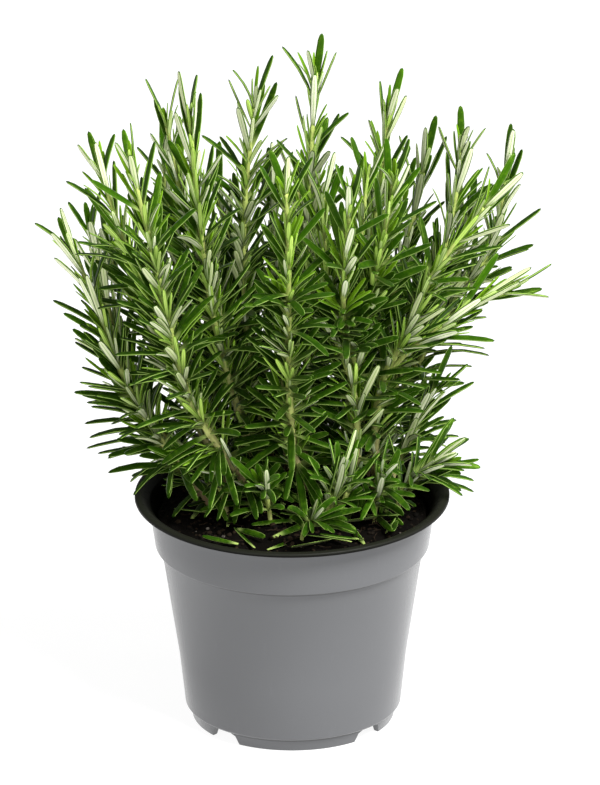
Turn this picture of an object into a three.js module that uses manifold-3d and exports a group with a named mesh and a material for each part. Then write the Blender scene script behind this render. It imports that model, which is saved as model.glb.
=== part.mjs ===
// Potted rosemary: a plastic nursery pot, the soil in it, and the leafy stems that stand in the soil.
// Millimetres, +Z up. The origin is on the floor, under the middle of the plant, and the front is -Y.
import * as THREE from 'three';
import { mergeVertices } from 'three/addons/utils/BufferGeometryUtils.js';
import Module from 'manifold-3d';

const wasm = await Module();
wasm.setup();

// ---- Pot: a standard 130 mm nursery pot ----

const POT_HEIGHT = 98;
const LIP_RADIUS = 65;
const POT_SIDES = 36;

// The outside, from the floor up, as [radius, height].
const FOOT_OUTSIDE = [[41.6, 0], [42.6, 5]];
const BODY_OUTSIDE = [[43.6, 5.3], [44.5, 6.2], [46.9, 28], [54.2, 75.6]];
const BAND_OUTSIDE = [[56.6, 76.2], [57.7, 84], [59, 94.8]];
const LIP = [[61, 96], [LIP_RADIUS, 96.4], [LIP_RADIUS, 97.6], [64.5, POT_HEIGHT]];

// The inside, from the lip down to the floor plate.
const LIP_INSIDE = [[62.4, POT_HEIGHT], [58.6, 95.6]];
const WALL_INSIDE = [[57.4, 92], [55.2, 79.5], [52.9, 76.8], [45.8, 28], [43.4, 7.4]];
const PLATE_TOP = 6.6;
const PLATE_UNDERSIDE = 5.2;
const PLATE_EDGE_RADIUS = 42.4;
const FOOT_INSIDE_RADIUS = 39.2;

// Gaps cut the foot ring into feet. The front foot is turned a little to the right.
const FEET = 4;
const FRONT_FOOT_TURN = 2.5;
const GAP_HALF_WIDTH_TOP = 4.4;
const GAP_HALF_WIDTH_FLOOR = 7.4;
const GAP_CORNER = 1.5;

const DRAIN_HOLES = 4;
const DRAIN_RADIUS = 4;
const DRAIN_SIDES = 8;
const DRAIN_RING_RADIUS = 26;

// How far a cutter goes on past what it cuts.
const PAST = 1;

// ---- Soil ----

const SOIL_GAP = 0.35;
const SOIL_EDGE_HEIGHT = 88;
const SOIL_CROWN_RISE = 3.5;
const SOIL_TOP_RADII = [55.4, 30];
const SOIL_SIDES = 24;
const STEM_HOLE_GAP = 0.35;

// ---- Leafy stems ----

// Each entry is one rooted stem with its branches. The first route goes from the foot, deep in the soil,
// to the tip, and each further route is a branch that starts inside an earlier one.
const STEMS = [
  // Left, lowest reaching
  {
    foot: 1.8,
    routes: [
      [[-30, 6, 66], [-36, 5, 94], [-52, 0, 119], [-68, -4, 149], [-81, -6, 188], [-92, -6, 215]],
    ],
  },
  // Left, behind the first
  {
    foot: 1.6,
    routes: [
      [[-32, 17, 66], [-40, 18, 95], [-62, 22, 131], [-73, 26, 160], [-79, 29, 188], [-84, 28, 208]],
    ],
  },
  // Left, next inward
  {
    foot: 1.8,
    routes: [
      [[-22, 15, 66], [-26, 13, 96], [-43, 3, 136], [-60, -4, 190], [-71, -8, 222], [-79, -10, 251]],
    ],
  },
  // Left of the middle, tall and near the front
  {
    foot: 2.1,
    routes: [
      [[-10, -4, 66], [-13, -5, 93], [-36, -15, 135], [-46, -20, 163], [-60, -38, 237], [-66, -46, 267]],
    ],
  },
  // Left of the middle, behind
  {
    foot: 1.7,
    routes: [
      [[-14, 24, 66], [-18, 22, 98], [-23, 18, 132], [-34, 14, 195], [-44, 12, 222], [-52, 12, 265]],
    ],
  },
  // Left of the middle, tall
  {
    foot: 1.8,
    routes: [
      [[-6, 9, 66], [-12, 8, 96], [-29, 0, 162], [-36, -6, 209], [-42, -10, 276]],
    ],
  },
  // Just left of the middle, behind
  {
    foot: 1.7,
    routes: [
      [[-6, 32, 66], [-9, 32, 98], [-15, 26, 133], [-19, 20, 170], [-19, 14, 215], [-14, 10, 274]],
    ],
  },
  // The tallest, in the middle
  {
    foot: 1.9,
    routes: [
      [[4, 26, 66], [5, 26, 96], [7, 22, 130], [7, 16, 175], [8, 8, 234], [11, 4, 287]],
    ],
  },
  // Right of the middle, tall
  {
    foot: 1.7,
    routes: [
      [[15, 24, 66], [18, 23, 96], [24, 18, 135], [28, 13, 175], [36, 8, 225], [41, 4, 271]],
    ],
  },
  // Right, behind, with one short branch
  {
    foot: 1.7,
    routes: [
      [[31, 26, 66], [36, 27, 97], [45, 26, 142], [59, 22, 184], [67, 20, 216], [71, 17, 251]],
      [[45, 26, 142], [58, 30, 165], [69, 31, 190], [76, 30, 214]],
    ],
  },
  // Right, reaching far out, with one long branch
  {
    foot: 2.2,
    routes: [
      [[31, 10, 66], [34, 8, 98], [36, 2, 141], [46, -4, 168], [58, -9, 198], [70, -12, 217], [85, -14, 237]],
      [[39, 0, 150], [48, -1, 161], [60, -2, 171], [77, -2, 184], [96, 0, 189]],
    ],
  },
  // Right, behind, with one branch
  {
    foot: 1.8,
    routes: [
      [[27, 36, 66], [33, 38, 98], [50, 37, 135], [65, 34, 165], [82, 32, 193], [88, 30, 221], [89, 30, 234]],
      [[50, 37, 135], [57, 43, 155], [66, 47, 180], [72, 49, 201]],
    ],
  },
  // In the middle, leaning to the front
  {
    foot: 2.2,
    routes: [
      [[12, 7, 66], [9, 4, 94], [1, -10, 119], [-1, -28, 169], [-1, -47, 219], [-2, -62, 264]],
    ],
  },
  // Short of the front one, to its right
  {
    foot: 1.7,
    routes: [
      [[27, -2, 66], [27, -3, 97], [26, -6, 143], [17, -10, 177], [14, -12, 214], [13, -14, 244]],
    ],
  },
  // Right of the middle, parting in three
  {
    foot: 2,
    routes: [
      [[22, 13, 66], [23, 12, 96], [25, 8, 118], [27, 0, 153], [29, -6, 187], [29, -12, 218], [32, -16, 251]],
      [[27, 0, 153], [22, -20, 180], [22, -36, 213], [25, -54, 256]],
      [[27, 0, 153], [33, -16, 194], [38, -31, 224], [43, -46, 261]],
    ],
  },
  // Short tuft in front, parting in three
  {
    foot: 1.4,
    routes: [
      [[13, -20, 66], [14, -21, 92], [18, -23, 107], [20, -24, 122]],
      [[14, -21, 92], [15, -24, 104], [14, -27, 117]],
      [[14, -21, 92], [21, -21, 103], [27, -21, 115]],
    ],
  },
  // Short shoot at the front right
  {
    foot: 1.3,
    routes: [
      [[34, -12, 66], [34, -13, 92], [36, -17, 107], [38, -22, 119]],
    ],
  },
  // Short shoot over the right of the rim
  {
    foot: 1.4,
    routes: [
      [[42, 0, 66], [44, 0, 93], [49, -1, 104], [56, -3, 110], [65, -5, 114]],
    ],
  },
  // Short shoot at the front left
  {
    foot: 1.4,
    routes: [
      [[-25, -4, 66], [-27, -5, 93], [-33, -7, 108], [-45, -10, 119]],
    ],
  },
  // Short shoot at the front
  {
    foot: 1.3,
    routes: [
      [[-8, -17, 66], [-9, -18, 93], [-11, -22, 107], [-15, -29, 119]],
    ],
  },
  // Short shoot nearest to the front
  {
    foot: 1.3,
    routes: [
      [[3, -33, 66], [4, -34, 92], [7, -38, 100], [12, -44, 108]],
    ],
  },
  // Back left, with one branch
  {
    foot: 1.8,
    routes: [
      [[-20, 31, 66], [-24, 34, 97], [-38, 42, 140], [-54, 48, 180], [-62, 50, 207]],
      [[-38, 42, 140], [-54, 43, 153], [-69, 44, 172], [-78, 44, 194]],
    ],
  },
  // Back, left of the middle
  {
    foot: 1.8,
    routes: [
      [[-7, 42, 66], [-9, 44, 98], [-16, 50, 140], [-25, 54, 185], [-31, 56, 215]],
      [[-12, 47, 119], [-21, 53, 132], [-28, 58, 147]],
    ],
  },
  // Back, right of the middle
  {
    foot: 1.8,
    routes: [
      [[7, 43, 66], [8, 46, 98], [8, 52, 140], [5, 56, 185], [3, 58, 218]],
      [[8, 49, 119], [12, 56, 132], [15, 62, 147]],
    ],
  },
  // Back right
  {
    foot: 1.8,
    routes: [
      [[20, 42, 66], [23, 45, 98], [32, 51, 140], [40, 55, 180], [45, 57, 207]],
      [[27, 48, 119], [37, 55, 131], [47, 61, 144]],
    ],
  },
  // Between the right ones
  {
    foot: 1.7,
    routes: [
      [[22, 30, 66], [25, 32, 97], [34, 32, 138], [44, 31, 180], [51, 30, 210], [56, 29, 237]],
    ],
  },
  // Between the left ones
  {
    foot: 1.7,
    routes: [
      [[-25, 24, 66], [-28, 26, 97], [-36, 31, 138], [-45, 34, 184], [-50, 35, 212], [-53, 34, 238]],
    ],
  },
  // Behind the middle
  {
    foot: 1.6,
    routes: [
      [[-1, 20, 66], [-2, 23, 97], [-4, 28, 134], [-6, 34, 178], [-8, 38, 226]],
    ],
  },
  // Short, back left
  {
    foot: 1.6,
    routes: [
      [[-13, 36, 66], [-15, 40, 97], [-27, 45, 132], [-33, 47, 168]],
    ],
  },
  // Short, in the middle of the back
  {
    foot: 1.6,
    routes: [
      [[0, 36, 66], [-1, 40, 97], [-4, 45, 132], [-7, 46, 172]],
    ],
  },
  // Short, back right
  {
    foot: 1.6,
    routes: [
      [[14, 37, 66], [16, 39, 97], [20, 44, 132], [24, 46, 170]],
    ],
  },
  // Short, on the right
  {
    foot: 1.5,
    routes: [
      [[38, 18, 66], [41, 18, 94], [50, 20, 118], [62, 22, 140]],
    ],
  },
];

// The routes are measured to the tips of the top leaves, and the stem itself ends this much sooner.
const TIP_TRIM = 9;
const TIP_RADIUS = 0.9;
const BRANCH_RADIUS = 1.3;
const STEM_SIDES = 4;
const ROOTED_SECTION = 26;
const BRANCH_SECTION = 14;
const BARE_ABOVE_SOIL = 4;
const BARE_ON_BRANCH = 8;
const FOOT_DEPTH = 24;

// Leaf pairs stand at nodes, each pair a quarter turn on from the last: close together at the tip, further
// apart lower down. A length "from the tip" is measured along the stem.
const NODE_GAP_TIP = 9;
const NODE_GAP_LOW = 14;
const NODE_GAP_REACH = 40;
const FIRST_NODE = 1;

const LEAF_LENGTH = 28;
const LEAF_WIDTH = 3.3;
const LEAF_THICKNESS = 1.1;
const LEAF_WIDEST = 0.45;
const LEAF_SIDES = 3;
const TRIANGLE_WIDTH = Math.sqrt(3);
const TRIANGLE_HEIGHT = 1.5;
const ROOT_DEPTH = 0.5;
const ROOT_DEPTH_MOST = 2.5;
const LENGTH_SPREAD = 0.3;
const YOUNG_SHORTER = 0.2;
const YOUNG_REACH = 6;

// How far a leaf opens from its stem, in degrees: least at the tip, most on the old wood.
const OPEN_LEAST = 6;
const OPEN_TIP = 14;
const OPEN_LOW = 38;
const OPEN_OLD = 45;
const OPEN_REACH = 40;
const OPEN_SPREAD = 30;
const OPEN_STEADIER_YOUNG = 0.6;
const OLD_AT = 150;
const TURN_SPREAD = 50;
const TURN_BETWEEN_ROUTES = 37;
const TWIST_SPREAD = 60;
const BOW_LEAST = -0.08;
const BOW_MOST = 0.3;
const SAG_OLD = 0.16;

// What keeps the draws of one leaf apart from those of another.
const DRAW_ROUTE = 97;
const DRAW_NODE = 13;
const DRAW_SIDE = 5;
const DRAW_PITCH = 12.9898;
const DRAW_HEIGHT = 43758.5453;
const ROUTES_A_STEM = 10;

// A leaf that would come too close to another plant part is turned, opened or shortened until it is clear,
// in these steps of [turn, opening, length], or is left off.
const WAYS_CLEAR = [
  [0, 0, 1], [25, 0, 1], [-25, 0, 1], [0, -14, 1], [0, 14, 1], [50, 0, 1], [-50, 0, 1],
  [25, -16, 0.9], [-25, -16, 0.9], [0, -24, 0.85], [70, -10, 0.85], [-70, -10, 0.85],
];
const LEAF_RADIUS = 1.45;
const CLEARANCE = 0.4;
const SAME_STEM_GAP = 1.7;
const SAME_STEM_FROM = 7;
const STEP = 2;
const CUBE = 5;
const SOIL_CLEARANCE = 1.6;
const POT_MOUTH_RADIUS = 54;
const POT_SAFE_RADIUS = 67.5;

// Corners nearer than this are one corner, and a height this near to 0 is the foot of a rod.
const SAME_CORNER = 1e-4;

const UP = new THREE.Vector3(0, 0, 1);
const BACK = new THREE.Vector3(0, 1, 0);

// ---- Solids ----

// A closed mesh with its shared corners merged becomes a solid that can be joined and cut.
function toSolid(geometry) {
  const bare = geometry.clone();
  bare.deleteAttribute('normal');
  bare.deleteAttribute('uv');
  const merged = mergeVertices(bare, SAME_CORNER);
  const corners = [];
  for (let i = 0; i < merged.index.count; i += 3) {
    const [a, b, c] = [0, 1, 2].map((k) => merged.index.getX(i + k));
    if (a !== b && b !== c && c !== a) corners.push(a, b, c);
  }
  return new wasm.Manifold(new wasm.Mesh({
    numProp: 3,
    vertProperties: new Float32Array(merged.attributes.position.array),
    triVerts: new Uint32Array(corners),
  }));
}

function toGeometry(solid) {
  const mesh = solid.getMesh();
  const geometry = new THREE.BufferGeometry();
  geometry.setAttribute('position', new THREE.BufferAttribute(mesh.vertProperties, 3));
  geometry.setIndex(new THREE.BufferAttribute(mesh.triVerts, 1));
  geometry.computeVertexNormals();
  return geometry;
}

// Turns an outline of [radius, height] points about the Z axis.
function turned(points, sides) {
  const outline = points.map(([radius, height]) => new THREE.Vector2(radius, height));
  return toSolid(new THREE.LatheGeometry(outline, sides).rotateX(Math.PI / 2));
}

// Moves each point of an upright rod to place(x, t, z), where t runs from 0 at its foot to 1 at its top.
function bent(rod, place) {
  const points = rod.attributes.position;
  for (let i = 0; i < points.count; i += 1) {
    const spot = place(points.getX(i), points.getY(i), points.getZ(i));
    points.setXYZ(i, spot.x, spot.y, spot.z);
  }
  return toSolid(rod);
}

// ---- Pot ----

function footGap(angle) {
  const outline = new THREE.Shape();
  const top = PLATE_UNDERSIDE;
  outline.moveTo(-GAP_HALF_WIDTH_FLOOR, -PAST);
  outline.lineTo(-GAP_HALF_WIDTH_FLOOR, 0);
  outline.lineTo(-GAP_HALF_WIDTH_TOP - GAP_CORNER, top - GAP_CORNER);
  outline.lineTo(-GAP_HALF_WIDTH_TOP + GAP_CORNER, top);
  outline.lineTo(GAP_HALF_WIDTH_TOP - GAP_CORNER, top);
  outline.lineTo(GAP_HALF_WIDTH_TOP + GAP_CORNER, top - GAP_CORNER);
  outline.lineTo(GAP_HALF_WIDTH_FLOOR, 0);
  outline.lineTo(GAP_HALF_WIDTH_FLOOR, -PAST);
  const cutter = new THREE.ExtrudeGeometry(outline, { depth: LIP_RADIUS, bevelEnabled: false });
  cutter.rotateX(Math.PI / 2);
  cutter.rotateZ(angle);
  return toSolid(cutter);
}

function drainHole(angle) {
  const length = PLATE_TOP - PLATE_UNDERSIDE + 2 * PAST;
  const cutter = new THREE.CylinderGeometry(DRAIN_RADIUS, DRAIN_RADIUS, length, DRAIN_SIDES);
  cutter.rotateX(Math.PI / 2);
  cutter.translate(DRAIN_RING_RADIUS, 0, (PLATE_TOP + PLATE_UNDERSIDE) / 2);
  cutter.rotateZ(angle);
  return toSolid(cutter);
}

function potSolid() {
  const footInside = [[FOOT_INSIDE_RADIUS, PLATE_UNDERSIDE], [FOOT_INSIDE_RADIUS, 0]];
  const outside = [[0, PLATE_UNDERSIDE], ...footInside, ...FOOT_OUTSIDE, ...BODY_OUTSIDE, ...BAND_OUTSIDE];
  const inside = [...LIP_INSIDE, ...WALL_INSIDE, [PLATE_EDGE_RADIUS, PLATE_TOP], [0, PLATE_TOP]];
  let pot = turned([...outside, ...LIP, ...inside], POT_SIDES);
  for (let k = 0; k < FEET; k += 1) {
    const angle = FRONT_FOOT_TURN + (360 / FEET) * (k + 0.5);
    pot = pot.subtract(footGap(THREE.MathUtils.degToRad(angle)));
  }
  for (let k = 0; k < DRAIN_HOLES; k += 1) {
    pot = pot.subtract(drainHole((2 * Math.PI * k) / DRAIN_HOLES));
  }
  return pot;
}

// ---- Soil ----

function soilHeight(radius) {
  return SOIL_EDGE_HEIGHT + SOIL_CROWN_RISE * Math.cos((Math.PI / 2) * Math.min(1, radius / LIP_RADIUS));
}

// The soil fills the pot's inside up to its mounded top, and each rooted stem stands in a plain hole in it.
function soilSolid(rootedRoutes) {
  const wall = WALL_INSIDE.filter(([, height]) => height < SOIL_EDGE_HEIGHT).reverse();
  const side = wall.map(([radius, height]) => [radius - SOIL_GAP, height + SOIL_GAP]);
  const top = SOIL_TOP_RADII.map((radius) => [radius, soilHeight(radius)]);
  const foot = [[0, PLATE_TOP + SOIL_GAP], [PLATE_EDGE_RADIUS, PLATE_TOP + SOIL_GAP]];
  let soil = turned([...foot, ...side, ...top, [0, soilHeight(0)]], SOIL_SIDES);
  for (const route of rootedRoutes) soil = soil.subtract(route.solid(STEM_HOLE_GAP));
  return soil;
}

// ---- Stems ----

// One route of a stem: a round tapering rod along a curve.
class Route {
  constructor(points, footRadius, sectionLength, number) {
    this.curve = new THREE.CatmullRomCurve3(points.map((p) => new THREE.Vector3(...p)), false, 'catmullrom');
    this.reach = this.curve.getLength();
    this.length = this.reach - TIP_TRIM;
    this.sections = Math.max(2, Math.floor(this.length / sectionLength));
    this.footRadius = footRadius;
    this.number = number;
    this.turn = THREE.MathUtils.degToRad(TURN_BETWEEN_ROUTES * number);
  }

  radiusAt(t) {
    return THREE.MathUtils.lerp(this.footRadius, TIP_RADIUS, t);
  }

  // The part of the whole curve that lies at t of the stem.
  curvePart(t) {
    return (t * this.length) / this.reach;
  }

  // The middle of the rod at t. The rod is straight from each ring of its corners to the next.
  middleAt(t) {
    const ring = Math.min(Math.floor(t * this.sections), this.sections - 1);
    const from = this.curve.getPointAt(this.curvePart(ring / this.sections));
    const to = this.curve.getPointAt(this.curvePart((ring + 1) / this.sections));
    return from.lerp(to, t * this.sections - ring);
  }

  // That point, with the stem's direction and the two directions across it in which its leaves stand.
  frameAt(t) {
    const point = this.middleAt(t);
    const along = this.curve.getTangentAt(this.curvePart(t));
    const right = new THREE.Vector3().crossVectors(BACK, along).normalize().applyAxisAngle(along, this.turn);
    const front = new THREE.Vector3().crossVectors(right, along);
    return { point, along, right, front, radius: this.radiusAt(t) };
  }

  // The rod, with a face where each leaf stands, made thicker all round and longer at its foot by extra.
  solid(extra = 0) {
    const rod = new THREE.CylinderGeometry(1, 1, 1, STEM_SIDES, this.sections);
    rod.rotateY(Math.PI / STEM_SIDES);
    rod.translate(0, 0.5, 0);
    return bent(rod, (x, t, z) => {
      const { point, along, right, front, radius } = this.frameAt(t);
      if (t < SAME_CORNER) point.addScaledVector(along, -extra);
      return point.addScaledVector(right, x * (radius + extra)).addScaledVector(front, z * (radius + extra));
    });
  }
}

// ---- Leaves ----

// A repeatable draw from 0 to 1 for whole numbers that say what is drawn: the part after the point of a
// wave that is far too steep to follow.
function draw(route, node, side, what) {
  const number = route * DRAW_ROUTE + node * DRAW_NODE + side * DRAW_SIDE + what;
  const wave = Math.sin(number * DRAW_PITCH) * DRAW_HEIGHT;
  return wave - Math.floor(wave);
}

function nodeGap(fromTip) {
  return NODE_GAP_LOW - (NODE_GAP_LOW - NODE_GAP_TIP) * Math.exp(-fromTip / NODE_GAP_REACH);
}

// How a leaf at this place grows, before anything is in its way.
function leafHabit(routeNumber, node, side, fromTip) {
  const chance = (what) => draw(routeNumber, node, side, what);
  const age = Math.min(1, fromTip / OLD_AT);
  const opening = OPEN_LOW - (OPEN_LOW - OPEN_TIP) * Math.exp(-fromTip / OPEN_REACH) + OPEN_OLD * age * age;
  const young = Math.exp(-fromTip / YOUNG_REACH);
  return {
    turn: 90 * node + 180 * side + TURN_SPREAD * (chance(1) - 0.5),
    opening: opening + OPEN_SPREAD * (chance(2) - 0.5) * (1 - OPEN_STEADIER_YOUNG * young),
    length: LEAF_LENGTH * (1 - YOUNG_SHORTER * young) * (1 + LENGTH_SPREAD * (chance(3) - 0.5)),
    twist: TWIST_SPREAD * (chance(4) - 0.5),
    bow: THREE.MathUtils.lerp(BOW_LEAST, BOW_MOST, chance(5) ** 2),
    sag: SAG_OLD * age,
  };
}

// A leaf set on its stem. "across" is its width and "under" the way its underside faces.
function leafOn(frame, habit, [turnMore, openMore, lengthTimes]) {
  const turn = THREE.MathUtils.degToRad(habit.turn + turnMore);
  const opening = THREE.MathUtils.degToRad(Math.max(OPEN_LEAST, habit.opening + openMore));
  const outward = frame.right.clone().multiplyScalar(Math.cos(turn));
  outward.addScaledVector(frame.front, Math.sin(turn));
  const along = frame.along.clone().multiplyScalar(Math.cos(opening));
  along.addScaledVector(outward, Math.sin(opening));
  const twist = THREE.MathUtils.degToRad(habit.twist);
  const across = new THREE.Vector3().crossVectors(frame.along, outward).applyAxisAngle(along, twist);
  const under = new THREE.Vector3().crossVectors(across, along);
  const bend = under.clone().multiplyScalar(habit.bow).addScaledVector(UP, -habit.sag);
  const sunk = Math.min(ROOT_DEPTH_MOST, (ROOT_DEPTH * frame.radius) / Math.sin(opening));
  return { root: frame.point, along, across, under, bend, sunk, length: habit.length * lengthTimes };
}

function leafPoint(leaf, t) {
  const point = leaf.root.clone().addScaledVector(leaf.along, leaf.length * t);
  return point.addScaledVector(leaf.bend, leaf.length * t * t);
}

// A three-sided needle: its root point is sunk past the middle of the stem, it is widest before its middle,
// and its tip is a point. TRIANGLE_WIDTH and TRIANGLE_HEIGHT are those of the lathe's triangle of radius 1.
function leafSolid(leaf) {
  const outline = [[0, 0], [1, LEAF_WIDEST], [0, 1]].map(([radius, t]) => new THREE.Vector2(radius, t));
  return bent(new THREE.LatheGeometry(outline, LEAF_SIDES), (x, t, z) => {
    const point = leafPoint(leaf, t);
    if (t < SAME_CORNER) point.addScaledVector(leaf.along, -leaf.sunk);
    point.addScaledVector(leaf.across, (x * LEAF_WIDTH) / TRIANGLE_WIDTH);
    return point.addScaledVector(leaf.under, (z * LEAF_THICKNESS) / TRIANGLE_HEIGHT);
  });
}

// ---- Room for every leaf ----

// Points along the stems and leaves placed so far, kept in cubes of space so that near ones are soon found.
const taken = new Map();

function cubeOf(point, dx = 0, dy = 0, dz = 0) {
  const [x, y, z] = [point.x, point.y, point.z].map((value) => Math.floor(value / CUBE));
  return `${x + dx},${y + dy},${z + dz}`;
}

function take(point, radius, stem, outer) {
  const cube = cubeOf(point);
  if (!taken.has(cube)) taken.set(cube, []);
  taken.get(cube).push({ point, radius, stem, outer });
}

function neededGap(other, stem, outer) {
  if (other.stem !== stem) return LEAF_RADIUS + other.radius + CLEARANCE;
  return outer && other.outer ? SAME_STEM_GAP : 0;
}

function isFree(point, stem, outer) {
  for (const dx of [-1, 0, 1]) {
    for (const dy of [-1, 0, 1]) {
      for (const dz of [-1, 0, 1]) {
        for (const other of taken.get(cubeOf(point, dx, dy, dz)) ?? []) {
          if (point.distanceTo(other.point) < neededGap(other, stem, outer)) return false;
        }
      }
    }
  }
  return true;
}

// Over the soil inside the pot, over the lip, or outside the pot.
function isClearOfPot(point) {
  const radius = Math.hypot(point.x, point.y);
  if (radius > POT_SAFE_RADIUS) return true;
  const below = radius < POT_MOUTH_RADIUS ? soilHeight(radius) : POT_HEIGHT;
  return point.z > below + SOIL_CLEARANCE;
}

function leafSteps(leaf) {
  const count = Math.ceil(leaf.length / STEP);
  return Array.from({ length: count }, (_, i) => {
    const t = (i + 1) / count;
    return { point: leafPoint(leaf, t), outer: leaf.length * t > SAME_STEM_FROM };
  });
}

function takeRoute(route, stem) {
  const count = Math.ceil(route.length / STEP);
  for (let i = 0; i <= count; i += 1) take(route.middleAt(i / count), route.radiusAt(i / count), stem, false);
}

// The leaf in the first way that is clear of everything else, or none.
function placedLeaf(frame, habit, stem) {
  for (const way of WAYS_CLEAR) {
    const leaf = leafOn(frame, habit, way);
    const steps = leafSteps(leaf);
    if (steps.every(({ point, outer }) => isClearOfPot(point) && isFree(point, stem, outer))) {
      for (const { point, outer } of steps) take(point, LEAF_RADIUS, stem, outer);
      return leaf;
    }
  }
  return null;
}

function leavesOf(route, stem, bareLength) {
  const leaves = [];
  let fromTip = FIRST_NODE;
  for (let node = 0; fromTip < route.length - bareLength; node += 1) {
    const frame = route.frameAt(1 - fromTip / route.length);
    for (const side of [0, 1]) {
      const leaf = placedLeaf(frame, leafHabit(route.number, node, side, fromTip), stem);
      if (leaf) leaves.push(leaf);
    }
    fromTip += nodeGap(fromTip);
  }
  return leaves;
}

// ---- Assembly ----

const potPlastic = new THREE.MeshStandardMaterial({ color: 0x85868a, roughness: 0.42, metalness: 0 });
const peat = new THREE.MeshStandardMaterial({ color: 0x241c16, roughness: 0.95, metalness: 0 });
const rosemaryGreen = new THREE.MeshStandardMaterial({ color: 0x3f6b2c, roughness: 0.5, metalness: 0 });

const plant = new THREE.Group();

function addPiece(name, solid, material) {
  const piece = new THREE.Mesh(toGeometry(solid), material);
  piece.name = name;
  plant.add(piece);
}

function routesOf({ foot, routes }, stem) {
  return routes.map((points, i) => {
    const number = stem * ROUTES_A_STEM + i;
    if (i === 0) return new Route(points, foot, ROOTED_SECTION, number);
    return new Route(points, BRANCH_RADIUS, BRANCH_SECTION, number);
  });
}

const stems = STEMS.map(routesOf);
stems.forEach((routes, stem) => routes.forEach((route) => takeRoute(route, stem)));

addPiece('pot', potSolid(), potPlastic);
addPiece('soil', soilSolid(stems.map(([rooted]) => rooted)), peat);

stems.forEach((routes, stem) => {
  let solid = routes[0].solid();
  for (const branch of routes.slice(1)) solid = solid.add(branch.solid());
  routes.forEach((route, i) => {
    const bareLength = i === 0 ? FOOT_DEPTH + BARE_ABOVE_SOIL : BARE_ON_BRANCH;
    for (const leaf of leavesOf(route, stem, bareLength)) solid = solid.add(leafSolid(leaf));
  });
  addPiece(`stem_${String(stem + 1).padStart(2, '0')}`, solid, rosemaryGreen);
});

export default plant;
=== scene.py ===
# A potted rosemary in a plain studio: the pot, its soil and its leafy stems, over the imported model.
# Sizes are in millimetres down to the studio's, +Z up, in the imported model's frame. Front is -Y.
import bisect
import itertools
import math
import random

import bmesh
import bpy
from bpy.props import FloatProperty, FloatVectorProperty, IntProperty, PointerProperty
from mathutils import Matrix, Vector, noise


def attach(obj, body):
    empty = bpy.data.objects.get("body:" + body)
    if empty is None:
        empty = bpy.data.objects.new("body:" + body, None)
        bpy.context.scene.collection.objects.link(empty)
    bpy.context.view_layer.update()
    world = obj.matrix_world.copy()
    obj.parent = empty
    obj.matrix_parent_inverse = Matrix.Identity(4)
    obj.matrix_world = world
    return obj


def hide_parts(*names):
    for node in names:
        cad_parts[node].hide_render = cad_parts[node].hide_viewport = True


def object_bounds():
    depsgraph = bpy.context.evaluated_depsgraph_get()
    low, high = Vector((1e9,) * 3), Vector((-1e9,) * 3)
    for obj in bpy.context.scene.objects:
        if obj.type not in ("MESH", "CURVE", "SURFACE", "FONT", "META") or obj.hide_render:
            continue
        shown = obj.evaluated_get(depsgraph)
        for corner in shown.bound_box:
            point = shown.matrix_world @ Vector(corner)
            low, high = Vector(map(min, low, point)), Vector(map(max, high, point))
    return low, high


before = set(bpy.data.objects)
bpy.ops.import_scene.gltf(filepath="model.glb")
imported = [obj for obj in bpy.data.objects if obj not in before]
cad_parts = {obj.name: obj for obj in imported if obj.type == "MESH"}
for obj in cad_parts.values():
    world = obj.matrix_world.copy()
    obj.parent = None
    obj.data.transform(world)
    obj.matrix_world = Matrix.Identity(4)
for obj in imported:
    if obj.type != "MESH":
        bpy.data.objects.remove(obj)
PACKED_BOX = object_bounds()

bl_info = {
    "name": "Potted Rosemary",
    "version": (1, 0, 0),
    "blender": (4, 5, 0),
    "location": "View3D > Sidebar > Rosemary",
    "description": "Models a potted rosemary over its packed parts and lights it",
    "category": "Add Mesh",
}

MM = 0.001
UP = Vector((0, 0, 1))
BACK = Vector((0, 1, 0))
SAME_PLACE = 0.001

# ---- Sizes of the pot and the soil, as [radius, height] ----

POT_HEIGHT = 98
FOOT_OUTSIDE = [[41.6, 0], [42.6, 5]]
BODY_OUTSIDE = [[43.6, 5.3], [44.5, 6.2], [46.9, 28], [54.2, 75.6]]
BAND_OUTSIDE = [[56.2, 75.8], [56.6, 76.3], [57.7, 84], [58.5, 91], [59, 94.8]]
LIP = [[61, 96.1], [65, 96.4], [65, 97.6], [64.5, 98]]
LIP_INSIDE = [[62.4, 98], [60.4, 96.9], [58.6, 95]]
WALL_INSIDE = [[57.4, 91], [55.2, 79.5], [52.9, 76.8], [45.8, 28], [43.4, 7.4]]
PLATE_TOP = [[42.4, 6.6], [0, 6.6]]
PLATE_UNDERSIDE = [[0, 5.2], [39.2, 5.2], [39.2, 0]]
BLACK_FROM_HEIGHT = 96.3
INSIDE_FROM_HEIGHT = 6.5
ROUNDED_FROM_ANGLE = math.radians(18)
SHARP_FROM_ANGLE = math.radians(32)
FEET = 4
FRONT_FOOT_TURN = 2.5
GAP_OUTLINE = [
    [-7.8, -1], [-7.4, 0], [-5.9, 3.7], [-2.9, 5.2], [2.9, 5.2], [5.9, 3.7], [7.4, 0], [7.8, -1],
]
GAP_FROM_RADIUS = 30
GAP_LENGTH = 60
DRAIN_HOLES = 4
DRAIN_RADIUS = 4
DRAIN_RING_RADIUS = 26
DRAIN_SIDES = 24
DRAIN_CUT_MIDDLE = 6
DRAIN_CUT_DEPTH = 10
# The heights between which painted shade, partly dust, comes and goes in the outside's creases, and
# the lip turns paler.
CREASE_SHADE_UNDER_BAND = [74.2, 75]
CREASE_SHADE_ENDS_ON_BAND = [75.7, 76.1]
CREASE_SHADE_OVER_FEET = [4.1, 4.8]
CREASE_SHADE_ENDS_ON_BODY = [5.2, 5.5]
RIM_TOP = [96.8, 97.6]

SOIL_EDGE_HEIGHT = 88
SOIL_CROWN_RISE = 3.5
SOIL_CROWN_REACH = 65
SOIL_EDGE_RADIUS = 55.2
SOIL_SIDE = [[55.2, 84], [52, 76], [45.2, 28], [43, 7.8]]
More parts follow.
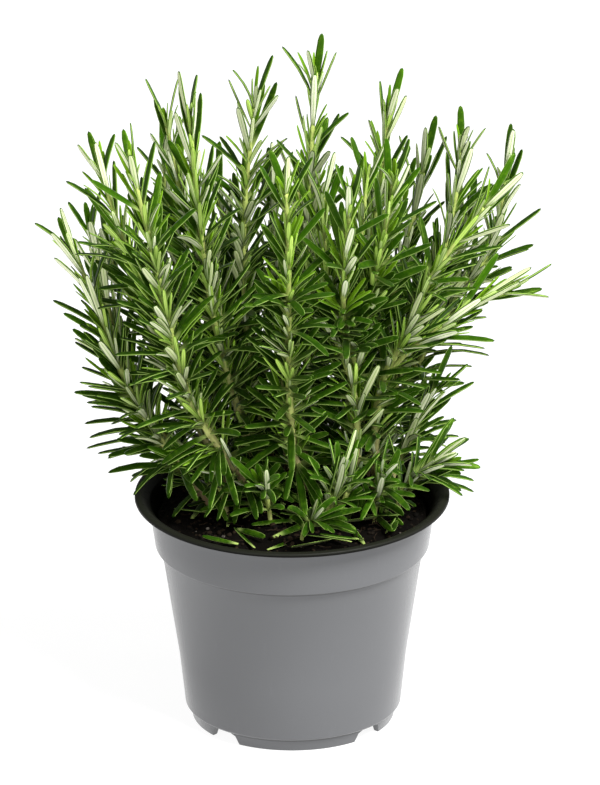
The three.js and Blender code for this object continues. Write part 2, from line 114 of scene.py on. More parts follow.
# How fine each kind of unevenness of the soil is, and how far it rises.
LUMP_FINENESS = 0.09
LUMP_RISE = 1.8
CLOD_FINENESS = 0.24
CLOD_RISE = 1.5
CLOD_LEVEL = 0.45
SPECK_FINENESS = 0.8
SPECK_RISE = 0.6

# ---- What lies on the soil. Two numbers are the least and the most ----

CRUMB_INSET = 1.5
CRUMB_SIZE = [0.3, 0.65]
CRUMB_BIGGER = 0.9
CRUMB_LONG = [0.8, 1.6]
CRUMB_FLAT = [0.5, 0.9]
CRUMB_TILT = 0.5
CRUMB_DENT = 0.45
CRUMB_DENT_FINENESS = 1.7
CRUMB_RISE = 0.15
FIBRE_INSET = 9
FIBRE_LENGTH = [4, 14]
FIBRE_RADIUS = [0.13, 0.26]
FIBRE_CURL = [-1.2, 1.2]
FIBRE_HEADING = [0, 2 * math.pi]
FIBRE_TONE = [0.5, 0.84]
FIBRE_RISE = 1.1
FIBRE_END_RISE = 1.5
FIBRE_SIDES = 4
FIBRE_SECTIONS = 5
FALLEN_INSET = 8
FALLEN_WALL_GAP = 2
FALLEN_RISE = 1.6
FALLEN_SLOPE = [-0.02, 0.16]
FALLEN_LENGTH = [15, 25]
FALLEN_WIDTH = [2.2, 3.1]
FALLEN_TWIST = 50
FALLEN_BOW = 0.1
FALLEN_TONE_LEAST = 0.5
FALLEN_AGE = 1.3

# ---- Stems: [foot radius, rooted route, branch routes ...] ----

STEMS = [
    [1.8, [[-30, 6, 66], [-36, 5, 94], [-52, 0, 119], [-68, -4, 149], [-81, -6, 188],
      [-92, -6, 215]]],
    [1.6, [[-32, 17, 66], [-40, 18, 95], [-62, 22, 131], [-73, 26, 160], [-79, 29, 188],
      [-84, 28, 208]]],
    [1.8, [[-22, 15, 66], [-26, 13, 96], [-43, 3, 136], [-60, -4, 190], [-71, -8, 222],
      [-79, -10, 251]]],
    [2.1, [[-10, -4, 66], [-13, -5, 93], [-36, -15, 135], [-46, -20, 163], [-60, -38, 237],
      [-66, -46, 267]]],
    [1.7, [[-14, 24, 66], [-18, 22, 98], [-23, 18, 132], [-34, 14, 195], [-44, 12, 222],
      [-52, 12, 265]]],
    [1.8, [[-6, 9, 66], [-12, 8, 96], [-29, 0, 162], [-36, -6, 209], [-42, -10, 276]]],
    [1.7, [[-6, 32, 66], [-9, 32, 98], [-15, 26, 133], [-19, 20, 170], [-19, 14, 215],
      [-14, 10, 274]]],
    [1.9, [[4, 26, 66], [5, 26, 96], [7, 22, 130], [7, 16, 175], [8, 8, 234], [11, 4, 287]]],
    [1.7, [[15, 24, 66], [18, 23, 96], [24, 18, 135], [28, 13, 175], [36, 8, 225], [41, 4, 271]]],
    [1.7, [[31, 26, 66], [36, 27, 97], [45, 26, 142], [59, 22, 184], [67, 20, 216], [71, 17, 251]],
     [[45, 26, 142], [58, 30, 165], [69, 31, 190], [76, 30, 214]]],
    [2.2, [[31, 10, 66], [34, 8, 98], [36, 2, 141], [46, -4, 168], [58, -9, 198], [70, -12, 217],
      [85, -14, 237]],
     [[39, 0, 150], [48, -1, 161], [60, -2, 171], [77, -2, 184], [96, 0, 189]]],
    [1.8, [[27, 36, 66], [33, 38, 98], [50, 37, 135], [65, 34, 165], [82, 32, 193], [88, 30, 221],
      [89, 30, 234]],
     [[50, 37, 135], [57, 43, 155], [66, 47, 180], [72, 49, 201]]],
    [2.2, [[12, 7, 66], [9, 4, 94], [1, -10, 119], [-1, -28, 169], [-1, -47, 219], [-2, -62, 264]]],
    [1.7, [[27, -2, 66], [27, -3, 97], [26, -6, 143], [17, -10, 177], [14, -12, 214],
      [13, -14, 244]]],
    [2, [[22, 13, 66], [23, 12, 96], [25, 8, 118], [27, 0, 153], [29, -6, 187], [29, -12, 218],
      [32, -16, 251]],
     [[27, 0, 153], [22, -20, 180], [22, -36, 213], [25, -54, 256]],
     [[27, 0, 153], [33, -16, 194], [38, -31, 224], [43, -46, 261]]],
    [1.4, [[13, -20, 66], [14, -21, 92], [18, -23, 107], [20, -24, 122]],
     [[14, -21, 92], [15, -24, 104], [14, -27, 117]],
     [[14, -21, 92], [21, -21, 103], [27, -21, 115]]],
    [1.3, [[34, -12, 66], [34, -13, 92], [36, -17, 107], [38, -22, 119]]],
    [1.4, [[42, 0, 66], [44, 0, 93], [49, -1, 104], [56, -3, 110], [65, -5, 114]]],
    [1.4, [[-25, -4, 66], [-27, -5, 93], [-33, -7, 108], [-45, -10, 119]]],
    [1.3, [[-8, -17, 66], [-9, -18, 93], [-11, -22, 107], [-15, -29, 119]]],
    [1.3, [[3, -33, 66], [4, -34, 92], [7, -38, 100], [12, -44, 108]]],
    [1.8, [[-20, 31, 66], [-24, 34, 97], [-38, 42, 140], [-54, 48, 180], [-62, 50, 207]],
     [[-38, 42, 140], [-54, 43, 153], [-69, 44, 172], [-78, 44, 194]]],
    [1.8, [[-7, 42, 66], [-9, 44, 98], [-16, 50, 140], [-25, 54, 185], [-31, 56, 215]],
     [[-12, 47, 119], [-21, 53, 132], [-28, 58, 147]]],
    [1.8, [[7, 43, 66], [8, 46, 98], [8, 52, 140], [5, 56, 185], [3, 58, 218]],
     [[8, 49, 119], [12, 56, 132], [15, 62, 147]]],
    [1.8, [[20, 42, 66], [23, 45, 98], [32, 51, 140], [40, 55, 180], [45, 57, 207]],
     [[27, 48, 119], [37, 55, 131], [47, 61, 144]]],
    [1.7, [[22, 30, 66], [25, 32, 97], [34, 32, 138], [44, 31, 180], [51, 30, 210], [56, 29, 237]]],
    [1.7, [[-25, 24, 66], [-28, 26, 97], [-36, 31, 138], [-45, 34, 184], [-50, 35, 212],
      [-53, 34, 238]]],
    [1.6, [[-1, 20, 66], [-2, 23, 97], [-4, 28, 134], [-6, 34, 178], [-8, 38, 226]]],
    [1.6, [[-13, 36, 66], [-15, 40, 97], [-27, 45, 132], [-33, 47, 168]]],
    [1.6, [[0, 36, 66], [-1, 40, 97], [-4, 45, 132], [-7, 46, 172]]],
    [1.6, [[14, 37, 66], [16, 39, 97], [20, 44, 132], [24, 46, 170]]],
    [1.5, [[38, 18, 66], [41, 18, 94], [50, 20, 118], [62, 22, 140]]],
]
BRANCH_RADIUS = 1.3
TIP_RADIUS = 0.9
BARE_FOOT = 28
BARE_ON_BRANCH = 8
ROUTE_NUMBERS_A_STEM = 10
CURVE_MARKS = 200
CURVE_NUDGE = 0.0001
# The routes are measured to the leaves at their tips, and the stem itself ends this much sooner.
TIP_TRIM = 9

# ---- How leaves stand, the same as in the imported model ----

NODE_GAP_TIP = 9
NODE_GAP_LOW = 14
NODE_GAP_REACH = 40
FIRST_NODE = 1
LEAF_LENGTH = 28
LENGTH_SPREAD = 0.3
YOUNG_SHORTER = 0.2
YOUNG_REACH = 6
OPEN_LEAST = 6
OPEN_TIP = 14
OPEN_LOW = 38
OPEN_OLD = 45
OPEN_REACH = 40
OPEN_SPREAD = 30
OPEN_SPREAD_YOUNG = 0.4
OLD_AT = 150
TURN_SPREAD = 50
TURN_BETWEEN_ROUTES = 37
TWIST_SPREAD = 60
BOW_LEAST = -0.08
BOW_MOST = 0.3
SAG_OLD = 0.16
WAYS_CLEAR = [
    [0, 0, 1], [25, 0, 1], [-25, 0, 1], [0, -14, 1], [0, 14, 1], [50, 0, 1], [-50, 0, 1],
    [25, -16, 0.9], [-25, -16, 0.9], [0, -24, 0.85], [70, -10, 0.85], [-70, -10, 0.85],
]
LEAF_RADIUS = 1.45
CLEARANCE = 0.4
SAME_STEM_GAP = 1.7
SAME_STEM_FROM = 7
STEP = 2
CUBE = 5
SOIL_CLEARANCE = 1.6
POT_MOUTH_RADIUS = 54
POT_SAFE_RADIUS = 67.5
BOX_MARGIN = 0.5

# ---- How leaves age and turn, and the finer leaves: only the dressed plant has these ----

AGE_AT_TIP = 0.5
GROWN_AT = 70
# Leaves further back are given an older, darker colour: this is painted shade.
SHADE_AT_BACK = 0.3
BACK_REACH = 30
FACING_OLD = 0.55
FACING_CURVE = 0.8
LIGHT_OUTWARD = 0.4
LIGHT_FRONT = 0.5
LIGHT_UP = 0.7
IN_THE_LIGHT_FROM = 120
IN_THE_DARK_FROM = 100

SHORT_SHOOT_WAYS = [[0, 0, 1], [20, 6, 0.9], [-20, 6, 0.9], [40, -8, 0.8], [-40, -8, 0.8]]
FINE_LEAF_RADIUS = 0.85
FINE_SAME_STEM_GAP = 1.15
FINE_SAME_STEM_FROM = 5
# What chance gives each of the small leaves of a short shoot and each further old leaf, as [least,
# more]: turn, part of the opening, part of the length, twist, tone, shift along the stem, part of
# the width, and age or droop.
TUFT_CHANCES = [
    [8, 46], [0.1, 0.45], [0.55, 0.4], [-25, 50], [0, 1], [1, 5], [0.42, 0.3], [0, 0.3],
]
OLD_CHANCES = [
    [20, 66], [0.42, 0.7], [0.75, 0.33], [-25, 50], [0, 1], [-5.6, 14], [0.85, 0.2], [0, 40],
]
FINE_DRAWS_FROM = 20
FINE_DRAWS_APART = 9
TUFT_FULL_AT = 55
TUFT_OPENING_LEAST = 5
TUFT_LENGTH_AT_TIP = 0.8
TUFT_AGE_LOW = 0.7
TIP_TUFT_REACH = 7
TIP_TUFT_SHIFT = 0.15
OLD_FROM = 32
OLD_FULL_AT = 82
OLD_ON_SHORT_ROUTE = 0.3
OLD_FULL_ROUTE = 70
OLD_OPENING_LOW = 0.2
OLD_SAG_LOW = 0.35
OLD_FACING = 0.3

# One leaf in section, half a width across each way: the groove above, the shoulders, the edges,
# the rolled margins below, and the midrib between them. Each entry is [across, height, side],
# with side 1 above and -1 below.
LEAF_SECTION = [
    [0, 0.12, 1], [0.52, 0.3, 1], [0.98, 0.03, 0.3], [0.76, -0.28, -0.4],
    [0, -0.12, -1], [-0.76, -0.28, -0.4], [-0.98, 0.03, 0.3], [-0.52, 0.3, 1],
]
# Along the leaf: [part of its length, part of its width]. The tip point follows the last.
LEAF_RINGS = [[0, 0.4], [0.12, 0.62], [0.34, 0.88], [0.62, 1], [0.86, 0.87], [0.965, 0.52]]
LEAF_THIN_END = 0.35

# ---- Bark ----

SWELLING_REACH = 1.5
BARK_EVEN = 0.88
BARK_SWELLING = 0.26
BARK_ROUGHNESS = 0.12
BARK_FINENESS = 1.6
BARK_FINENESS_ALONG = 0.35
BARK_FINENESS_OF_PLACE = 0.01
BARK_TONE_STEP = 0.37
BARK_AGE = 0.55
LOW_WOOD_REACH = 45
LOW_WOOD_FULL_AT = 25

# ---- Studio, in metres, but the sensor in millimetres ----

FLOOR_REACH = 15
LIT_MIDDLE = (0, 0, 0.15)
KEY_LIGHT = [(1.1, -1.1, 2.2), (1.1, 1.1)]
FILL_LIGHT = [(1.9, -0.4, 0.5), (0.5, 1.2)]
FRONT_LIGHT = [(-0.9, -1.8, 0.6), (1.2, 1.2)]
SENSOR_WIDTH = 36
SEEN_TO = 100


def share(value, start, end):
    """How far a value has come from start to end, from 0 to 1."""
    return min(1, max(0, (value - start) / (end - start)))


# ---- Shader helpers ----


class Wire:
    """A shader socket that takes part in plain arithmetic."""

    def __init__(self, finish, socket):
        self.finish = finish
        self.socket = socket

    def maths(self, operation, first, second):
        return self.finish.node("ShaderNodeMath", {"operation": operation}, {0: first, 1: second})

    def __add__(self, other):
        return self.maths("ADD", self, other)

    __radd__ = __add__

    def __sub__(self, other):
        return self.maths("SUBTRACT", self, other)

    def __rsub__(self, other):
        return self.maths("SUBTRACT", other, self)

    def __mul__(self, other):
        return self.maths("MULTIPLY", self, other)

    __rmul__ = __mul__

    def __abs__(self):
        return self.finish.node("ShaderNodeMath", {"operation": "ABSOLUTE"}, {0: self})


class Finish:
    """One material and the nodes that it is made of."""

    def __init__(self, name):
        self.material = bpy.data.materials.new(name)
        self.material.use_nodes = True
        self.tree = self.material.node_tree
        self.tree.nodes.clear()

    def node(self, kind, settings, sockets, output=0):
        """A new node: its settings, then its sockets' values or links. Gives one of its outputs."""
        made = self.tree.nodes.new(kind)
        for name, value in settings.items():
            setattr(made, name, value)
        for key, value in sockets.items():
            if isinstance(value, Wire):
                self.tree.links.new(value.socket, made.inputs[key])
            else:
                made.inputs[key].default_value = value
        return Wire(self, made.outputs[output])

    def attribute(self, name):
        return self.node("ShaderNodeAttribute", {"attribute_name": name}, {}, "Fac")

    def place(self):
        return self.node("ShaderNodeTexCoord", {}, {}, "Object")

    def grain(self, scale, detail, stretch=(1, 1, 1)):
        """Soft noise in the piece's own space, with so many features to the metre."""
        spot = self.node("ShaderNodeMapping", {}, {"Vector": self.place(), "Scale": stretch})
        sockets = {"Vector": spot, "Scale": scale, "Detail": detail}
        return self.node("ShaderNodeTexNoise", {}, sockets)

    def cells(self, scale):
        return self.node("ShaderNodeTexVoronoi", {}, {"Vector": self.place(), "Scale": scale})

    def ease(self, value, start, end):
        """From 0 at the start to 1 at the end, with soft ends."""
        settings = {"interpolation_type": "SMOOTHSTEP"}
        return self.node("ShaderNodeMapRange", settings, {0: value, 1: start, 2: end})

    def blend(self, amount, first, second):
        """A colour between two, which are colours or wires of them."""
        settings = {"data_type": "RGBA"}
        both = {6: self.colour(first), 7: self.colour(second)}
        return self.node("ShaderNodeMix", settings, {0: amount, **both}, 2)

    def colour(self, value):
        return value if isinstance(value, Wire) else (*value, 1)

    def coated(self, colour, *coats):
        """A colour under coats, each of them how much it covers and its own colour."""
        for cover, coat in coats:
            colour = self.blend(cover, colour, coat)
        return colour

    def climb(self, low, high):
        """From 0 at a low height to 1 at a high one, in millimetres, with soft ends."""
        height = self.node("ShaderNodeSeparateXYZ", {}, {0: self.place()}, "Z")
        return self.ease(height, low * MM, high * MM)

    def bump(self, height, depth, strength):
        sockets = {"Height": height, "Distance": depth, "Strength": strength}
        return self.node("ShaderNodeBump", {}, sockets)

    def done(self, sockets):
        """Ends the material with one Principled surface."""
        surface = self.node("ShaderNodeBsdfPrincipled", {}, sockets)
        ending = self.tree.nodes.new("ShaderNodeOutputMaterial")
        self.tree.links.new(surface.socket, ending.inputs["Surface"])
        return self.material


def pot_outside_finish(look):
    finish = Finish("grey_plastic")
    crease_shade_under_band = finish.climb(*CREASE_SHADE_UNDER_BAND) - finish.climb(*CREASE_SHADE_ENDS_ON_BAND)
    crease_shade_over_feet = finish.climb(*CREASE_SHADE_OVER_FEET) - finish.climb(*CREASE_SHADE_ENDS_ON_BODY)
    cloudy = finish.grain(28, 2)
    fine = finish.grain(1900, 2)
    scuffs = finish.ease(finish.grain(420, 4, (1, 1, 0.12)), 0.62, 0.8)
    grey = finish.coated(
        look.outside_colour,
        (cloudy * 0.35, [c * 0.9 for c in look.outside_colour]),
        (scuffs * 0.12, [c * 1.35 for c in look.outside_colour]),
        # Painted shade, partly dust, in the crease under the band and in the crease over the feet.
        ((crease_shade_under_band + crease_shade_over_feet) * 0.55, look.dust_and_crease_shade_colour),
    )
    return finish.done({
        "Base Color": grey,
        "Roughness": look.outside_roughness - 0.03 + cloudy * 0.06 + scuffs * 0.06,
        "Normal": finish.bump(fine, 0.00003, 0.5),
    })


def pot_inside_finish(look):
    finish = Finish("black_plastic")
    fine = finish.grain(1500, 3)
    dust = finish.ease(finish.grain(300, 5), 0.55, 0.75)
    black = finish.coated(
        look.inside_colour,
        (dust * 0.5, look.dust_and_crease_shade_colour),
        (finish.climb(*RIM_TOP), look.rim_colour),
    )
    return finish.done({
        "Base Color": black,
        "Roughness": 0.42 + dust * 0.3 + fine * 0.06,
        "Specular IOR Level": 0.08,
        "Normal": finish.bump(fine, 0.00005, 0.6),
    })


def peat_finish(look):
    finish = Finish("peat")
    clumps = finish.grain(260, 5)
    grit = finish.grain(1500, 4)
    pores = finish.cells(900)
    brown = finish.coated(
        look.peat_colour,
        (finish.ease(clumps, 0.4, 0.7), look.crumb_colour),
        (finish.ease(pores, 0.5, 0.15) * 0.6, (0.003, 0.002, 0.0015)),
        (finish.ease(grit, 0.66, 0.74) * 0.55, look.fibre_colour),
    )
    return finish.done({
        "Base Color": brown,
        "Roughness": 0.78 + grit * 0.2,
        "Specular IOR Level": 0.05,
        "Normal": finish.bump(clumps + grit * 0.5, 0.0008, 0.9),
    })


def grain_finish(look):
    """Pale mineral grains, tan bark and fibres, each by its tone."""
    finish = Finish("grains_and_fibres")
    tone = finish.attribute("tone")
    grit = finish.grain(1800, 4)
    colour = finish.coated(
        look.crumb_colour,
        (finish.ease(tone, 0.25, 0.6), look.fibre_colour),
        (finish.ease(tone, 0.96, 0.975), look.white_grain_colour),
        (grit * 0.5, look.crumb_colour),
    )
    return finish.done({
        "Base Color": colour,
        "Roughness": 0.8 + grit * 0.15,
        "Specular IOR Level": 0.08,
        "Normal": finish.bump(grit, 0.0003, 0.8),
    })


def leaf_finish(look):
    """Glossy green above with a grooved middle, pale felt below between green rolled margins."""
    finish = Finish("rosemary_leaf")
    across = abs(finish.attribute("across"))
    side = finish.attribute("side")
    way = finish.attribute("way")
    tone = finish.attribute("tone")
    age = finish.attribute("age")
    pebbles = finish.cells(3400)
    mottle = finish.grain(500, 3)

    above = finish.coated(
        look.young_green,
        (finish.ease(age, 0, 0.55), look.leaf_green),
        (finish.ease(age + tone * 0.4, 0.6, 1.2), look.old_green),
        (tone * 0.4, look.old_green),
        (finish.ease(mottle, 0.45, 0.75) * 0.15, look.young_green),
        (finish.ease(across, 0.2, 0) * 0.4, look.old_green),
        # A painted highlight along each leaf's edges, where they catch the light.
        (finish.ease(across, 0.82, 0.96) * 0.65, look.margin_highlight_colour),
    )
    felt = finish.coated(
        look.felt_colour,
        (tone * 0.6, look.felt_shade_colour),
        (finish.ease(age, 0.8, 1.2) * 0.6, look.felt_shade_colour),
        (finish.ease(age + tone * 0.2, 0.42, 0.22), look.young_felt_colour),
        (finish.ease(across, 0.14, 0.04) * 0.6, look.young_green),
    )
    below = finish.ease(side, -0.42, -0.52)
    foot = finish.ease(way, 0.3, 0.04) * 0.75
    return finish.done({
        "Base Color": finish.coated(above, (below, felt), (foot, look.leaf_foot_colour)),
        "Roughness": 0.26 + below * 0.4 + pebbles * 0.1,
        "Specular IOR Level": 0.2,
        "Specular Tint": (0.65, 1, 0.15, 1),
        "Normal": finish.bump(pebbles, 0.00006, 0.35),
    })


def stem_finish(look):
    """Yellow-green young bark that turns tan, then brown and cracked on the old wood."""
    finish = Finish("rosemary_bark")
    age = finish.attribute("age")
    tone = finish.attribute("tone")
    streaks = finish.grain(900, 4, (1, 1, 0.14))
    flecks = finish.grain(2600, 3)
    wood = finish.ease(age + streaks * 0.25, 0.78, 1.1)
    colour = finish.coated(
        look.young_stem_colour,
        (finish.ease(age + tone * 0.1, 0.3, 0.8), look.tan_stem_colour),
        (wood, look.wood_colour),
        (finish.ease(streaks, 0.52, 0.66) * 0.4, look.wood_colour),
    )
    return finish.done({
        "Base Color": colour,
        "Roughness": 0.5 + wood * 0.3 + flecks * 0.08,
        "Specular IOR Level": 0.25,
        "Normal": finish.bump(streaks + flecks * 0.3, 0.0004, 0.8),
    })


def floor_finish(look):
    finish = Finish("studio_floor")
    soft = finish.grain(6, 2)
    return finish.done({
        "Base Color": finish.blend(soft * 0.06, look.floor_colour, (1, 1, 1)),
        "Roughness": 0.85 + soft * 0.05,
        "Emission Color": (1, 1, 1, 1),
        "Emission Strength": look.floor_glow,
    })


# ---- Mesh helpers ----


def shown(name, data):
    """An object with this data, in the scene."""
    item = bpy.data.objects.new(name, data)
    bpy.context.scene.collection.objects.link(item)
    return item


def finish_piece(mesh, name, nodes, materials):
    """Makes a mesh a shown piece that rides on the plant's one body."""
    for material in materials:
        mesh.materials.append(material)
    piece = shown(name, mesh)
    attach(piece, "root")
    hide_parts(*nodes)
    return piece


def mesh_of(bm, name):
    mesh = bpy.data.meshes.new(name)
    bm.to_mesh(mesh)
    bm.free()
    mesh.shade_smooth()
    return mesh


def spun(outline, steps):
    """Spins a closed outline of [radius, height] about the Z axis."""
    bm = bmesh.new()
    corners = [bm.verts.new((radius * MM, 0, height * MM)) for radius, height in outline]
    edges = [bm.edges.new(pair) for pair in zip(corners, corners[1:])]
    bmesh.ops.spin(bm, geom=corners + edges, cent=(0, 0, 0), axis=(0, 0, 1), angle=2 * math.pi,
                   steps=steps, use_merge=True)
    bmesh.ops.remove_doubles(bm, verts=bm.verts, dist=SAME_PLACE * MM)
    bmesh.ops.recalc_face_normals(bm, faces=bm.faces)
    return bm


def rod(sides, sections):
    """An upright closed rod of radius 1 from height 0 to 1, cut across into sections."""
    bm = bmesh.new()
    bmesh.ops.create_cone(bm, cap_ends=True, segments=sides, radius1=1, radius2=1, depth=1)
    bmesh.ops.translate(bm, verts=bm.verts, vec=(0, 0, 0.5))
    uprights = [e for e in bm.edges if abs(e.verts[0].co.z - e.verts[1].co.z) > 0.5]
    bmesh.ops.subdivide_edges(bm, edges=uprights, cuts=sections - 1)
    return bm


def cut_away(piece, cutter_mesh):
    """Takes a closed cutter out of a piece's mesh, and clears the cutter away."""
    cutter = shown("cutter", cutter_mesh)
    modifier = piece.modifiers.new("cut", "BOOLEAN")
    modifier.object = cutter
    modifier.operation = "DIFFERENCE"
    modifier.solver = "EXACT"
    graph = bpy.context.evaluated_depsgraph_get()
    whole = piece.data
    piece.data = bpy.data.meshes.new_from_object(piece.evaluated_get(graph), depsgraph=graph)
    piece.modifiers.clear()
    piece.data.name = piece.name
    bpy.data.objects.remove(cutter)
    bpy.data.meshes.remove(cutter_mesh)
    bpy.data.meshes.remove(whole)


# ---- Pot ----


def foot_gap_mesh():
    """All the gaps between the feet, as bars through the foot ring."""
    bm = bmesh.new()
    for k in range(FEET):
        inner = [bm.verts.new((x * MM, -GAP_FROM_RADIUS * MM, z * MM)) for x, z in GAP_OUTLINE]
        bmesh.ops.contextual_create(bm, geom=inner)
        face = inner[0].link_faces[0]
        grown = bmesh.ops.extrude_face_region(bm, geom=[face])["geom"]
        outer = [g for g in grown if isinstance(g, bmesh.types.BMVert)]
        bmesh.ops.translate(bm, verts=outer, vec=(0, -GAP_LENGTH * MM, 0))
        turn = math.radians(FRONT_FOOT_TURN + (360 / FEET) * (k + 0.5) + 90)
        bmesh.ops.rotate(bm, verts=inner + outer, cent=(0, 0, 0),
                         matrix=Matrix.Rotation(turn, 3, "Z"))
    bmesh.ops.recalc_face_normals(bm, faces=bm.faces)
    return mesh_of(bm, "foot_gaps")


def drain_mesh():
    bm = bmesh.new()
    ring = DRAIN_RING_RADIUS * MM
    for k in range(DRAIN_HOLES):
        angle = 2 * math.pi * k / DRAIN_HOLES
        spot = (ring * math.cos(angle), ring * math.sin(angle), DRAIN_CUT_MIDDLE * MM)
        bmesh.ops.create_cone(bm, cap_ends=True, segments=DRAIN_SIDES,
                              radius1=DRAIN_RADIUS * MM, radius2=DRAIN_RADIUS * MM,
                              depth=DRAIN_CUT_DEPTH * MM, matrix=Matrix.Translation(spot))
    return mesh_of(bm, "drain_holes")


def is_black(face):
    """True inside the pot and on its lip, where the plastic is black."""
    centre = face.calc_center_median()
    inward = face.normal.dot(Vector((centre.x, centre.y, 0))) < 0
    return centre.z > BLACK_FROM_HEIGHT * MM or (inward and centre.z > INSIDE_FROM_HEIGHT * MM)


def pot_mesh(sizes):
    bm = spun(PLATE_UNDERSIDE + FOOT_OUTSIDE + BODY_OUTSIDE + BAND_OUTSIDE + LIP + LIP_INSIDE
              + WALL_INSIDE + PLATE_TOP, sizes.sides)
    rings = [e for e in bm.edges if abs(e.verts[0].co.z - e.verts[1].co.z) < SAME_PLACE * MM
             and e.calc_face_angle(0) > ROUNDED_FROM_ANGLE]
    bmesh.ops.bevel(bm, geom=rings, offset=sizes.edge_rounding, segments=2, profile=0.5,
                    affect="EDGES", material=-1, clamp_overlap=True)
    for face in bm.faces:
        face.material_index = 1 if is_black(face) else 0
    return mesh_of(bm, "nursery_pot")


# ---- Soil ----


def soil_height(radius):
    reach = share(radius, 0, SOIL_CROWN_REACH)
    return SOIL_EDGE_HEIGHT + SOIL_CROWN_RISE * math.cos(math.pi / 2 * reach)


def crumble(x, y, roughness):
    """How far the soil's top stands over its even height at a place, all in millimetres."""
    lumps = noise.turbulence(Vector((x, y, 3)) * LUMP_FINENESS, 3, False)
    clods = noise.voronoi(Vector((x, y, 8)) * CLOD_FINENESS)[0][0]
    specks = noise.noise(Vector((x, y, 14)) * SPECK_FINENESS)
    rise = lumps * LUMP_RISE + CLOD_RISE * (CLOD_LEVEL - clods) + specks * SPECK_RISE
    return roughness * rise


def soil_top(x, y, roughness):
    return soil_height(math.hypot(x, y)) + crumble(x, y, roughness)


def spot_on_soil(chance, inset):
    """A place on the soil, this far or further from the pot's wall."""
    radius = (SOIL_EDGE_RADIUS - inset) * math.sqrt(chance.random())
    turn = chance.uniform(0, 2 * math.pi)
    return radius * math.cos(turn), radius * math.sin(turn)


def soil_mesh(look):
    rings = [SOIL_EDGE_RADIUS * i / look.soil_rings for i in range(look.soil_rings + 1)]
    top = [[radius, soil_height(radius)] for radius in rings]
    bm = spun(top + SOIL_SIDE + [[0, SOIL_SIDE[-1][1]]], look.soil_sides)
    for corner in bm.verts:
        x, y, z = corner.co / MM
        if z > SOIL_EDGE_HEIGHT:
            corner.co.z = soil_top(x, y, look.soil_roughness) * MM
    return mesh_of(bm, "peat")


def crumb_template():
    bm = bmesh.new()
    bmesh.ops.create_cube(bm, size=2)
    bmesh.ops.subdivide_edges(bm, edges=bm.edges, cuts=1, use_grid_fill=True)
    for corner in bm.verts:
        corner.co.normalize()
    return mesh_of(bm, "crumb")


def add_shape(bm, template):
    """Adds a template's mesh and gives its new corners."""
    before = len(bm.verts)
    bm.from_mesh(template)
    bm.verts.ensure_lookup_table()
    return bm.verts[before:]


def crumbs_mesh(look, chance):
    """Clods, bark, pale grains and fibres that lie on the soil."""
    bm = bmesh.new()
    tone_of = bm.verts.layers.float.new("tone")
    template = crumb_template()
    for _ in range(look.crumbs):
        x, y = spot_on_soil(chance, CRUMB_INSET)
        size = chance.uniform(*CRUMB_SIZE) + CRUMB_BIGGER * chance.random() ** 4
        tone = chance.random()
        long, flat = chance.uniform(*CRUMB_LONG), chance.uniform(*CRUMB_FLAT)
        shape = Vector((size * long, size, size * flat))
        spin = Matrix.Rotation(chance.uniform(0, math.pi), 3, "Z")
        tilt = Matrix.Rotation(chance.uniform(-CRUMB_TILT, CRUMB_TILT), 3, "X")
        middle = Vector((x, y, soil_top(x, y, look.soil_roughness) + CRUMB_RISE * size))
        for corner in add_shape(bm, template):
            dent = 1 + CRUMB_DENT * noise.noise(corner.co * CRUMB_DENT_FINENESS + middle)
            corner.co = (spin @ tilt @ (corner.co * dent * shape) + middle) * MM
            corner[tone_of] = tone
    bpy.data.meshes.remove(template)
    template = mesh_of(rod(FIBRE_SIDES, FIBRE_SECTIONS), "fibre")
    for _ in range(look.fibres):
        x0, y0 = spot_on_soil(chance, FIBRE_INSET)
        limits = (FIBRE_LENGTH, FIBRE_RADIUS, FIBRE_CURL, FIBRE_HEADING, FIBRE_TONE)
        length, thick, curl, heading, tone = [chance.uniform(*pair) for pair in limits]
        for corner in add_shape(bm, template):
            s = corner.co.z - 0.5
            bearing = heading + curl * s
            x = x0 + length * s * math.cos(bearing) - corner.co.x * thick * math.sin(bearing)
            y = y0 + length * s * math.sin(bearing) + corner.co.x * thick * math.cos(bearing)
            rest = soil_height(math.hypot(x, y)) + look.soil_roughness * FIBRE_RISE
            rise = corner.co.y * thick + FIBRE_END_RISE * abs(s)
            corner.co = Vector((x, y, rest + rise)) * MM
            corner[tone_of] = tone
    bpy.data.meshes.remove(template)
    return mesh_of(bm, "crumbs_and_fibres")


# ---- Stems and leaves: where they grow ----


